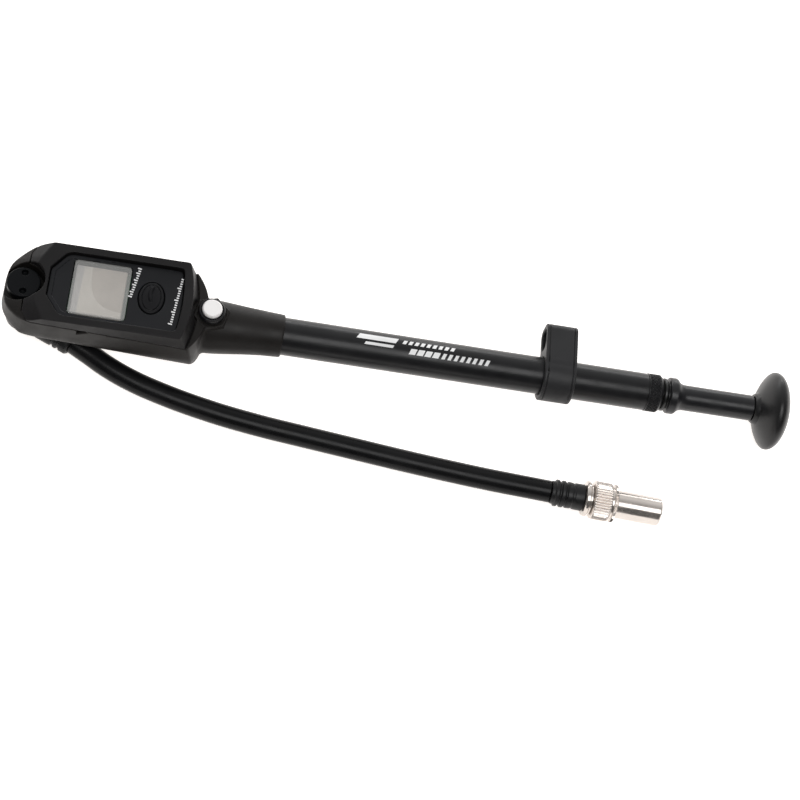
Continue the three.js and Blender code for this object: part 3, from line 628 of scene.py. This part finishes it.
def nose_outline():
    """Plan of the nose from its front, carried on past the head's end."""
    side, length = HALF_WIDTH + 0.8, 90
    half = [(0, 3.8)]
    half += bend(half[-1], (0.2, 7.2), (2.1, 9.5))
    half += bend(half[-1], (4.6, 12.6), (7.4, 14.2))
    half += bend(half[-1], (9.8, 15.3), (18, side))
    half += [(length, side)]
    return half + [(x, -y) for x, y in reversed(half)]


NOSE_OUTLINE = nose_outline()


def nose_form(x, y, z):
    """The nose leans back, and is rounded underneath."""
    along = (x - NOSE_X) * math.cos(NOSE_LEAN) - (z - AXIS_Z) * math.sin(NOSE_LEAN)
    up = (x - NOSE_X) * math.sin(NOSE_LEAN) + (z - AXIS_Z) * math.cos(NOSE_LEAN)
    front = outline_distance(NOSE_OUTLINE, along, y)
    return both(front, NOSE_UNDER - up, NOSE_ROUND)


def head_plan(x, y, end_x, end_radius, grow=0.0):
    """Straight sides and a rounded end, which counts only on the neck's side of the swivel."""
    end = np.hypot(x - (end_x - end_radius), y) - end_radius - grow
    return both(np.abs(y) - HALF_WIDTH - grow, np.where(x > 20, end, -30.0), 0.6 + grow)


def cover_plan(x, y, z, grow=0.0):
    """The head's plan for the cover, whose end leans out as it goes down."""
    return head_plan(x + COVER_LEAN * (z - COVER_END_Z), y, COVER_END_X, COVER_END_RADIUS, grow)


def under_ramp(x, y, z):
    """The top of the nose, falling forwards and to both sides."""
    rise = z - RAMP_Z - RAMP_SLOPE * x
    top = rise / math.hypot(1, RAMP_SLOPE)
    side = rise + RAMP_FALL * (np.abs(y) - RAMP_SHOULDER)
    return both(top, side / math.sqrt(1 + RAMP_SLOPE ** 2 + RAMP_FALL ** 2), 0.6)


def upright_rod(x, y, radius, at_x=0.0, at_y=0.0):
    """An endless rod along Z."""
    return np.hypot(x - at_x, y - at_y) - radius


def box_field(x, y, z, low, high, radius=0.3):
    """A box with rounded edges."""
    made = slab(x, low[0], high[0], radius)
    for value, a, b in ((y, low[1], high[1]), (z, low[2], high[2])):
        made = both(made, slab(value, a, b, radius), radius)
    return made


# (x, radius) of the neck, and (x, how far its centre lies under the barrel's axis).
NECK = [(56, 9.5), (62, 9.5), (66, 9.35), (70, 9.0), (76.5, 8.3), (83.4, 7.75), (89, 7.45), (89.5, 7.2)]
NECK_DROP = [(64, 1.0), (82, 0.0)]
HEXAGON_TURNS = [math.radians(60 * i + HEXAGON_TURN) for i in range(6)]
HEXAGON = [(BLEED_X + HEXAGON_RADIUS * math.sin(t), HEXAGON_RADIUS * math.cos(t)) for t in HEXAGON_TURNS]
PILLARS = [(14.2, 10.6), (14.2, -10.6), (53.2, 10.6), (53.2, -10.6)]
CAVITY_LOW, CAVITY_HIGH = (12, -12.4, 14.4), (55.4, 12.4, 23.8)


def head_room(x, y, z):
    """The space inside the head, with the four screw pillars left standing in it."""
    room = box_field(x, y, z, CAVITY_LOW, (CAVITY_HIGH[0], CAVITY_HIGH[1], 40), 0.8)
    for at_x, at_y in PILLARS:
        room = without(room, upright_rod(x, y, PILLAR_RADIUS, at_x, at_y), 0.3)
    return room


def head_body_field(x, y, z):
    """The head's lower half with the barrel's neck, the bleed valve's nut and all its bores."""
    plan = head_plan(x, y, HEAD_END_X, np.interp(z, *np.array(HEAD_END_RADII).T))
    keel = both(np.abs(y) - KEEL_HALF_WIDTH, bottom_z(x) - z, KEEL_RADIUS)
    block = both(both(plan, nose_form(x, y, z), 0.01), keel, 0.8)
    block = both(block, under_ramp(x, y, z), 0.4)
    block = both(block, np.where(x > 30, z - LAND_Z, z - SEAT_Z), 0.5)
    reach = np.hypot(y, z - AXIS_Z)
    girth = np.hypot(y, z - AXIS_Z + np.interp(x, *np.array(NECK_DROP).T))
    neck = both(girth - np.interp(x, *np.array(NECK).T), slab(x, 57, NECK_END_X), 0.1)
    neck = both(neck, z - LAND_Z, 0.3)
    made = either(block, neck, 1.4)
    door_ring = both(upright_rod(x, y, DOOR_RING, BATTERY_X), slab(z, DOOR_Z, 10), 0.5)
    made = either(made, door_ring, 0.6)
    lid = cover_plan(x, y, z, SEAM_GAP)
    lid = both(lid, both(seam_z(x) - SEAM_GAP / 2 - z, NOSE_SEAM_X - SEAM_GAP / 2 - x, 0.1), 0.1)
    made = without(made, lid, 0.22)
    nut = both(outline_distance(HEXAGON, x, y), slab(z, LAND_Z - 5, LAND_Z + 0.15, 0.25), 0.25)
    nut = without(nut, both(upright_rod(x, y, 5, BLEED_X), LAND_Z - z), 0.2)
    made = either(made, nut, 0.05)
    made = without(made, head_room(x, y, z), 0.3)
    for at_x, at_y in PILLARS:
        screw_head = upright_rod(x, y, SCREW_HEAD_RADIUS, at_x, at_y)
        made = without(made, both(screw_head, z - bottom_z(at_x) - 3.4), 0.2)
    made = without(made, both(upright_rod(x, y, HOSE_RELIEF_RADIUS), z - HOSE_RELIEF_Z), 0.3)
    made = without(made, upright_rod(x, y, SWIVEL_BORE), 0.3)
    made = without(made, both(upright_rod(x, y, WELL_RADIUS), WELL_FLOOR_Z - z), 0.35)
    made = without(made, both(upright_rod(x, y, DOOR_HOLE, BATTERY_X), z - 9.9), 0.3)
    made = without(made, both(upright_rod(x, y, BLEED_BORE, BLEED_X), 15 - z), 0.2)
    made = without(made, both(reach - NECK_BORE, 72.1 - x), 0.3)
    return without(made, both(reach - 4, slab(x, 66.5, 73)), 0.2)


def panel_outline():
    """The gauge face: chamfered towards the nose, bowed towards the neck."""
    x0, x1, side = PANEL_LOW[0], PANEL_HIGH[0] - 0.3, PANEL_HIGH[1]
    half = [(x0, 5.2), (x0 + 4.2, side - 1.2)]
    half += bend(half[-1], (x0 + 5.4, side), (x0 + 7.4, side))
    half += [(x1 - 2.6, side)]
    half += bend(half[-1], (x1 - 1.3, side), (x1 - 1.1, side - 1.6))
    half += bend(half[-1], (x1 - 0.35, side - 6.8), (x1 - 0.35, 0))
    return half + [(x, -y) for x, y in reversed(half[:-1])]


PANEL_OUTLINE = panel_outline()


def head_cover_field(x, y, z):
    """The head's upper half: a lid with a sunk seat for the face panel."""
    made = both(cover_plan(x, y, z), nose_form(x, y, z), 0.01)
    roof = z - np.interp(x, *np.array(COVER_ROOF).T)
    made = both(made, roof, 0.2)
    made = both(made, under_ramp(x, y, z), 0.3)
    made = both(made, both(seam_z(x) + SEAM_GAP / 2 - z, NOSE_SEAM_X + SEAM_GAP / 2 - x, 0.1), 0.22)
    outline = outline_distance(PANEL_OUTLINE, x, y)
    made = without(made, both(outline - SEAM_GAP, PANEL_LOW[2] - SEAM_GAP - z), 0.3)
    made = without(made, outline + 1.2, 0.1)
    made = without(made, box_field(x, y, z, (12, -12.4, 10), CAVITY_HIGH, 0.3), 0.2)
    made = without(made, upright_rod(x, y, WELL_RADIUS), 0.35)
    made = without(made, upright_rod(x, y, 6.6, BLEED_X), 0.3)
    for at_x, at_y in PILLARS:
        post = both(upright_rod(x, y, PILLAR_RADIUS, at_x, at_y), slab(z, seam_z(at_x) + SEAM_GAP, 25))
        screw_hole = both(upright_rod(x, y, SCREW_RADIUS, at_x, at_y), z - 24.4)
        made = without(either(made, post, 0.2), screw_hole, 0.1)
    return made


def window_field(x, y, grow=0.0):
    """The window in the face panel, in plan."""
    return both(slab(x, *WINDOW_X) - grow, np.abs(y) - WINDOW_HALF - grow, 1.5 + grow)


def oval_field(x, y, grow=0.0):
    """The mode button's oval in plan, close to a true distance near its edge."""
    radius_x, radius_y = MODE_RX + grow, MODE_RY + grow
    u, v = (x - MODE_X) / radius_x, y / radius_y
    size = np.hypot(u, v)
    steep = np.hypot(u / radius_x, v / radius_y)
    return (size - 1) * size / np.maximum(steep, 1e-3)


def face_panel_field(x, y, z):
    """The face panel: a flat film with a lower rim, a window and a hole for the button."""
    outline = outline_distance(PANEL_OUTLINE, x, y)
    made = both(outline, slab(z, PANEL_LOW[2], PANEL_HIGH[2], 0.1), 0.3)
    inset = np.interp(x, [20, 30, 48, 51], [1.5, 0.5, 0.5, -1.0])
    rim = both(outline + inset, PANEL_HIGH[2] - PANEL_RIM_DROP - z, 0.1)
    made = without(made, rim, 0.1)
    made = without(made, window_field(x, y), 0.2)
    return without(made, oval_field(x, y, 0.3), 0.3)


def mode_button_field(x, y, z):
    """A domed oval with a groove round it and a raised arc, on a stalk that starts under the panel."""
    dome = PANEL_HIGH[2] + 0.35 - 0.4 * (((x - MODE_X) / MODE_RX) ** 2 + (y / MODE_RY) ** 2)
    made = both(oval_field(x, y), both(24.2 - z, z - dome), 0.4)
    groove = np.abs(oval_field(x, y, -1.1)) - 0.12
    made = without(made, both(groove, PANEL_HIGH[2] - 0.1 - z), 0.12)
    bow = x - MODE_X + 0.5 - 0.07 * (y - 1.2) ** 2
    pip = np.hypot(np.hypot(bow * 1.5, np.maximum(np.abs(y - 1.2) - 1.9, 0)), z - PANEL_HIGH[2] + 0.25) - 1.25
    made = either(made, pip, 0.3)
    made = either(made, both(oval_field(x, y, 0.8), slab(z, 24.1, 25), 0.2), 0.2)
    return either(made, both(upright_rod(x, y, 1.5, MODE_X), slab(z, 22.4, 24.5)), 0.2)


def display_lens_field(x, y, z):
    """A clear plate that fills the window."""
    return both(window_field(x, y, -0.3), slab(z, 26.2, PANEL_HIGH[2] + 0.12, 0.1), 0.2)


def display_module_field(x, y, z):
    """The display itself, a plate under the window."""
    low, high = mm_box("display_module")
    return box_field(x, y, z, low, high, 0.4)


def battery_door_field(x, y, z):
    """A round door with a coin slot."""
    door = both(upright_rod(x, y, DOOR_RADIUS, BATTERY_X), slab(z, DOOR_Z, DOOR_TOP_Z, 0.2), 0.3)
    coin_slot = both(np.abs(y) - 0.7, np.abs(x - BATTERY_X) - 3.5, 0.2)
    return without(door, both(coin_slot, z - 5.8), 0.1)


shape_carved("head_body", head_body_field, 0.32)
shape_carved("head_cover", head_cover_field, 0.27)
shape_carved("face_panel", face_panel_field, 0.28)
shape_carved("mode_button", mode_button_field, 0.2)
shape_carved("display_lens", display_lens_field, 0.25)
shape_carved("display_module", display_module_field, 0.4)
shape_carved("battery_door", battery_door_field, 0.25)


# ---------------------------------------------------------------- hose swivel and bleed valve

def swivel_plug_field(x, y, z):
    """A plug with two holes for a pin spanner."""
    disc = both(upright_rod(x, y, PLUG_RADIUS), slab(z, 20.6, 24.4, 0.3), 0.45)
    made = either(disc, both(upright_rod(x, y, 2), slab(z, 15, 21)), 0.3)
    for at_x, at_y in ((-0.1, 3.6), (0.25, -3.45)):
        made = without(made, both(upright_rod(x, y, 1.15, at_x, at_y), 22.4 - z), 0.15)
    return made


def swivel_elbow_field(x, y, z):
    """A post with two O-ring grooves, on a foot from which a spigot leaves towards the hose."""
    profile = [(0, 5.6), (0.7, 6.3), (8.6, 6.3), (9.3, 5.7), (9.31, 3.5), (20.3, 3.5)]
    reach = np.hypot(x, y)
    post = both(reach - np.interp(z, *np.array(profile).T), slab(z, 0.12, 20.3, 0.3), 0.2)
    for low in (11.2, 15.6):
        post = without(post, both(2.95 - reach, slab(z, low, low + 1.1)), 0.1)
    along = x * math.cos(HOSE_ANGLE) + y * math.sin(HOSE_ANGLE)
    across = np.hypot(y * math.cos(HOSE_ANGLE) - x * math.sin(HOSE_ANGLE), z - ELBOW_Z)
    made = either(post, both(across - 4.3, slab(along, 0, 8.5), 0.3), 0.8)
    return without(made, both(reach - 2.3, 14.5 - z), 0.1)


shape_carved("swivel_plug", swivel_plug_field, 0.22)
shape_carved("swivel_elbow", swivel_elbow_field, 0.35)
BLEED_AXIS = upright_axis(BLEED_X)
COLLAR_RIM = [(24.9, 3.7), (25.2, 3.9), (25.2, 4.3), (24.75, 4.6), (23.0, 4.6), (23.0, 2.2), (16, 2.2),
              (16, 1.25), (23.9, 1.25), (23.9, 3.7)]
BUTTON_SIDE = [(14.6, 0.9), (24.9, 0.9), (24.9, 3.42), (26.1, 3.42), (26.5, 3.02)]
shape_turned("bleed_collar", [(24.0, 3.7), *rounded(COLLAR_RIM, 0.15)], BLEED_AXIS)
shape_turned("bleed_button", [(14.6, 0), *rounded(BUTTON_SIDE, 0.15), (26.5, 2.4), (26.5, 0.3), (26.5, 0)],
             BLEED_AXIS)


# ---------------------------------------------------------------- barrel, cap, clip

BARREL_WALL = [(72.4, 5.6), (72.4, 6.58), (219.9, 6.58), (219.9, 5.6)]
shape_turned("barrel_tube", rounded(BARREL_WALL, 0.1), BARREL_AXIS, segments=128)


def diamond_knurl(start, end, count, depth):
    """Crossed grooves between two distances along the axis."""
    def relief(along, turn):
        band = np.clip((along - start) * 6, 0, 1) * np.clip((end - along) * 6, 0, 1)
        lean = count * along / BARREL_RADIUS
        return -depth * band * np.maximum(np.cos(count * turn + lean), np.cos(count * turn - lean)) ** 2
    return relief


def densely(profile, start, end, step):
    """The profile with extra points between two distances, so that relief has something to move."""
    made = []
    for (a, ra), (b, rb) in zip(profile, profile[1:]):
        made.append((a, ra))
        if a != b and max(a, b) > start and min(a, b) < end and min(ra, rb) > 0:
            count = int(abs(b - a) / step)
            for i in range(1, count + 1):
                made.append((a + (b - a) * i / (count + 1), ra + (rb - ra) * i / (count + 1)))
    return made + [profile[-1]]


KNURL_START, KNURL_END, KNURL_COUNT, KNURL_DEPTH = 220.3, 224.3, 30, 0.3
CAP = [(212, 3.95), (212, 5.35), (220, 5.35), (220, 6.75), (224.4, 6.75), (225.2, 6.1), (225.2, 4.75),
       (223.4, 4.75), (223.4, 3.95)]
BUMPER = [(225.7, 3.25), (225.7, 5.3), (226.2, 5.87), (226.9, 5.87), (227.4, 5.3), (227.4, 3.25)]
shape_turned("end_cap", densely(rounded(CAP, 0.2), KNURL_START - 0.1, KNURL_END, 0.11), BARREL_AXIS,
             segments=288, relief=diamond_knurl(KNURL_START, KNURL_END, KNURL_COUNT, KNURL_DEPTH))
shape_turned("bumper_ring", rounded(BUMPER, 0.3), BARREL_AXIS)

CLIP_LOW, CLIP_HIGH = mm_box("hose_clip")
CLIP_LOOP_Y = (8.9, 16.2)


def clip_field(x, y, z):
    """A band round the barrel with a looped arm beside it that holds the stowed hose, and two fine lines."""
    reach = np.hypot(y, z - AXIS_Z)
    outer = CLIP_HIGH[2] - AXIS_Z
    band = reach - outer
    arm = both(slab(y, 0, CLIP_HIGH[1]), slab(z, AXIS_Z - 1.7, AXIS_Z + outer), 3.2)
    made = either(band, arm, 0.8)
    loop = both(slab(y, *CLIP_LOOP_Y), slab(z, AXIS_Z + 0.1, AXIS_Z + outer - 1.7), 2.4)
    made = without(made, loop, 0.3)
    made = without(made, reach - BARREL_RADIUS - 0.15, 0.2)
    made = both(made, slab(x, CLIP_LOW[0], CLIP_HIGH[0]), 0.5)
    middle = (CLIP_LOW[0] + CLIP_HIGH[0]) / 2
    line = np.abs(np.abs(x - middle) - (CLIP_HIGH[0] - middle) + 1.2) - 0.12
    skin = np.maximum(np.minimum(band, arm), -0.25) + 0.12
    return without(made, np.maximum(line, -skin - 0.12), 0.08)


shape_carved("hose_clip", clip_field, 0.3)


# ---------------------------------------------------------------- printed marks

def printed(name, marks, place, body):
    """Flat printed marks. Each is four corners (u, v), and place(u, v, lift) puts them on the surface."""
    vertices, faces = [], []
    count, ink = 5, 0.02                        # points along each side, and how far the ink stands out
    for a, b, c, d in marks:
        start = len(vertices)
        for lift in (ink, -ink):
            for t in np.linspace(0, 1, count):
                left = (1 - t) * np.array(a) + t * np.array(d)
                right = (1 - t) * np.array(b) + t * np.array(c)
                vertices += [place(*left, lift), place(*right, lift)]
        top, bottom = start, start + 2 * count
        for i in range(count - 1):
            k = 2 * i
            faces += [(top + k, top + k + 1, top + k + 3, top + k + 2),
                      (bottom + k + 2, bottom + k + 3, bottom + k + 1, bottom + k),
                      (top + k, top + k + 2, bottom + k + 2, bottom + k),
                      (top + k + 3, top + k + 1, bottom + k + 1, bottom + k + 3)]
        last = 2 * (count - 1)
        faces += [(top + 1, top, bottom, bottom + 1),
                  (top + last, top + last + 1, bottom + last + 1, bottom + last)]
    return piece(name, vertices, faces, body, "print", sharp=30)


def on_panel(x, y, lift):
    """A place on the face panel's lower rim."""
    return (x, y, PANEL_HIGH[2] - PANEL_RIM_DROP + lift)


def on_barrel(x, turn, lift):
    """A place on the barrel: turn is in degrees from its top towards the viewer."""
    reach, turn = BARREL_RADIUS + lift, math.radians(turn)
    return (x, -reach * math.sin(turn), AXIS_Z + reach * math.cos(turn))


def bar_row(start, end, count, width, height, pattern):
    """A row of bars standing across the line from start to end; pattern scales each bar's height."""
    start, end = np.array(start, float), np.array(end, float)
    along = (end - start) / np.linalg.norm(end - start)
    across = np.array((-along[1], along[0])) * height
    marks = []
    for i in range(count):
        middle = start + (end - start) * (i + 0.5) / count
        left, right = middle - along * width / 2, middle + along * width / 2
        up = across * pattern[i % len(pattern)]
        marks.append([left, right, right + up, left + up])
    return marks


def slanted_row(start, end, count, fill, height, lean):
    """Bars on the barrel between two (x, turn) points, leaning towards +X at the top."""
    marks = []
    (x0, turn0), (x1, turn1) = start, end
    pitch = (x1 - x0) / count
    for i in range(count):
        x, turn = x0 + pitch * i, turn0 + (turn1 - turn0) * i / count
        wide = pitch * fill
        far = turn - height
        marks.append([(x, turn), (x + wide, turn), (x + wide + lean, far), (x + lean, far)])
    return marks


PANEL_ROWS = [((36.4, -1.2), (38.4, 10.9), 13, 0.5, 1.35, (1, 0.65, 1, 0.65, 0.65)),
              ((51.1, -9.3), (53.0, 9.4), 20, 0.5, 1.35, (1, 0.6, 0.6, 0.6, 0.6))]
BARREL_ROWS = [((114.6, -4), (128.4, -4), 1, 1, 19, 1.1), ((117.5, 13), (127.5, 13), 1, 1, 9, 0.5),
               ((130.7, -6), (149.8, -6), 9, 0.6, 14, 0.7), ((133.3, 24), (144.3, 24), 4, 0.8, 18, 0.8),
               ((144.8, 24), (162.4, 24), 8, 0.55, 18, 0.8)]
printed("panel_marks", [mark for row in PANEL_ROWS for mark in bar_row(*row)], on_panel, "pump_body")
printed("barrel_marks", [mark for row in BARREL_ROWS for mark in slanted_row(*row)], on_barrel, "pump_body")


# ---------------------------------------------------------------- handle

STEM_FLANGE = [(227.7, 4.9), (228.1, 4.9), (228.1, 6.2), (228.5, 6.5), (230.6, 6.5), (231.2, 6.2)]
STEM_NECK = [(231.9, 5.4), (232.4, 5.05), (232.8, 4.85), (233.4, 4.66), (234, 4.56), (235, 4.55)]
STEM_END = [(259.2, 4.55), (259.4, 4.4), (259.4, 3.6), (269, 3.6), (269, 0)]
shape_turned("handle_stem", [(227.7, 0), *rounded(STEM_FLANGE, 0.2), *STEM_NECK, *STEM_END], BARREL_AXIS)


def knob_profile():
    """A knob that flares like a trumpet and has a domed end."""
    neck, flare, widest, end, radius, root = 259.7, 261.2, 266.6, 272.2, 14.0, 5.9
    made = [(neck, 3.9), (neck, 4.9), (neck + 0.15, 5.1), (neck + 0.5, 5.35), (neck + 0.9, 5.6)]
    length, growth = widest - 0.25 - flare, radius - 0.02 - root
    for share in np.linspace(0, 1, 30) ** 1.3:
        made.append((flare + length * share, root + growth * (1 - (1 - share) ** 1.7)))
    for turn in np.linspace(0.03, math.pi / 2, 32)[:-1]:
        made.append((widest + (end - widest) * math.sin(turn), radius * math.cos(turn)))
    return [(269.4, 0), (269.4, 3.9), *made, (end, 0)]


shape_turned("handle_knob", knob_profile(), BARREL_AXIS, segments=160)


# ---------------------------------------------------------------- boots, hose and chuck

BOOT = [(8.8, 0), (8.8, 5.8), (9.4, 6), (13.2, 5.7), (14.6, 5.55), (15, 4.9), (15.6, 4.9), (16, 5.5),
        (16.9, 5.45), (17.3, 4.75), (17.9, 4.75), (18.3, 5.35), (20.5, 5.25), (21.2, 4.7), (21.2, 0)]
shape_turned("swivel_boot", rounded(BOOT, 0.35, 4), HOSE_EXIT_AXIS @ Matrix.Diagonal((1, 1, BOOT_HEIGHT, 1)))


def hose_route():
    """The hose's centreline: straight out of the swivel, down to the floor and along it."""
    def radial(distance, z):
        return (distance * math.cos(HOSE_ANGLE), distance * math.sin(HOSE_ANGLE), z)
    return [radial(21.5, 4.5), radial(28, 4.15), (30.9, -16.6, 4.05), (39.6, -20.4, 3.95),
            (48.9, -23.4, 3.95), (66.8, -27.6, 3.9), (84.5, -30.4, 3.9), (102.2, -32.3, 3.9),
            (119.9, -34.1, 3.9), (137.7, -35.9, 3.95), (155.6, -37.6, 4.3), (166, -38.65, 4.9),
            (175, -39.5, 5.6), (182.5, -40.2, 6.3), (188.7, -40.72, 6.68)]


def add_hose():
    """The hose as one smooth curve. Returns it and its route."""
    data = bpy.data.curves.new("hose_line", "CURVE")
    data.dimensions = "3D"
    data.bevel_depth = HOSE_DIAMETER / 2 * MM
    data.bevel_resolution = 12
    data.resolution_u = 12
    data.use_fill_caps = True
    line = data.splines.new("BEZIER")
    points = hose_route()
    line.bezier_points.add(len(points) - 1)
    for knot, where in zip(line.bezier_points, points):
        knot.co = np.array(where) * MM
        knot.handle_left_type = knot.handle_right_type = "AUTO"
    hose = bpy.data.objects.new("hose_line", data)
    bpy.context.scene.collection.objects.link(hose)
    data.materials.append(MATERIALS["hose"])
    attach(hose, HOME["hose"])
    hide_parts("hose")
    return hose, points


hose, route = add_hose()
FERRULE = [(0, 0), (0, 3.9), (1.2, 4.1), (1.5, 4.7), (2.5, 4.7), (2.8, 4.1), (3.3, 4.1), (3.6, 4.7),
           (4.7, 4.7), (5, 4.2), (5.4, 4.2), (5.7, 4.65), (7.3, 4.6), (7.6, 4.4), (8.1, 4.4), (8.4, 4.65),
           (11.6, 4.7), (11.6, 0)]
TAIL = [(11.9, 0), (11.9, 6), (12.3, 6.3), (13.2, 6.3), (13.6, 5.5), (14.2, 5.5), (14.2, 3.6), (21, 3.6),
        (21, 4.6), (22.6, 4.6), (22.6, 0)]
ferrule = shape_turned("chuck_ferrule", rounded(FERRULE, 0.3, 4), CHUCK_AXIS)
tail = shape_turned("chuck_tail", rounded(TAIL, 0.15), CHUCK_AXIS)

RIB_COUNT, RIB_DEPTH = 44, 0.42
TOOTH_COUNT, TOOTH_DEPTH = 72, 0.28


def collar_relief(along, turn):
    """Axial ribs on the grip, and a finely toothed ring in front of them."""
    ribs = np.clip((along - 15.1) * 5, 0, 1) * np.clip((20.8 - along) * 5, 0, 1)
    teeth = np.clip((along - 21.9) * 6, 0, 1) * np.clip((23.0 - along) * 6, 0, 1)
    ribs = RIB_DEPTH * ribs * (0.5 - 0.5 * np.cos(RIB_COUNT * turn)) ** 1.5
    return -ribs - TOOTH_DEPTH * teeth * (0.5 - 0.5 * np.cos(TOOTH_COUNT * turn))


GRIP = [(14.6, 6.0), (15, 6.7), (20.9, 6.7), (21.2, 6.1), (21.7, 6.1), (22, 6.6), (22.9, 6.6), (23.4, 4.95),
        (38.7, 4.95), (39.2, 4.6)]
COLLAR = densely(rounded(GRIP, 0.12, 3), 15, 23, 0.35)
BORE = [(39.2, 4.1), (38.9, 3.9), (23, 3.9), (23, 4.9), (20.7, 4.9), (20.7, 3.9), (14.6, 3.9)]


def outer_only(along, turn):
    """collar_relief, without moving the bore."""
    made = collar_relief(along, turn)
    made[len(COLLAR):-1] = 0
    return made


collar = shape_turned("chuck_collar", [*COLLAR, *BORE], CHUCK_AXIS, segments=440, relief=outer_only)
GASKET = [(23, 1.3), (23, 3.6), (25.4, 3.6), (25.4, 1.3)]
gasket = shape_turned("chuck_gasket", rounded(GASKET, 0.3), CHUCK_AXIS)
PIN_TIP = [(25.5, 1), (25.9, 0.7), (31.4, 0.7), (31.8, 0.4)]
PIN = [(22.9, 0), (22.9, 1), *rounded(PIN_TIP, 0.1), (31.8, 0)]
pin = shape_turned("chuck_pin", PIN, CHUCK_AXIS, segments=48)


# ---------------------------------------------------------------- the picture

add_camera()
add_world()
add_floor()
add_softbox("front", **FRONT_LIGHT)
add_softbox("back", **BACK_LIGHT)
bpy.context.scene.view_settings.view_transform = "Standard"

for name, made in frame["nodes"].items():
    made.data.materials.clear()
    made.data.materials.append(MATERIALS[SLOT[name]])
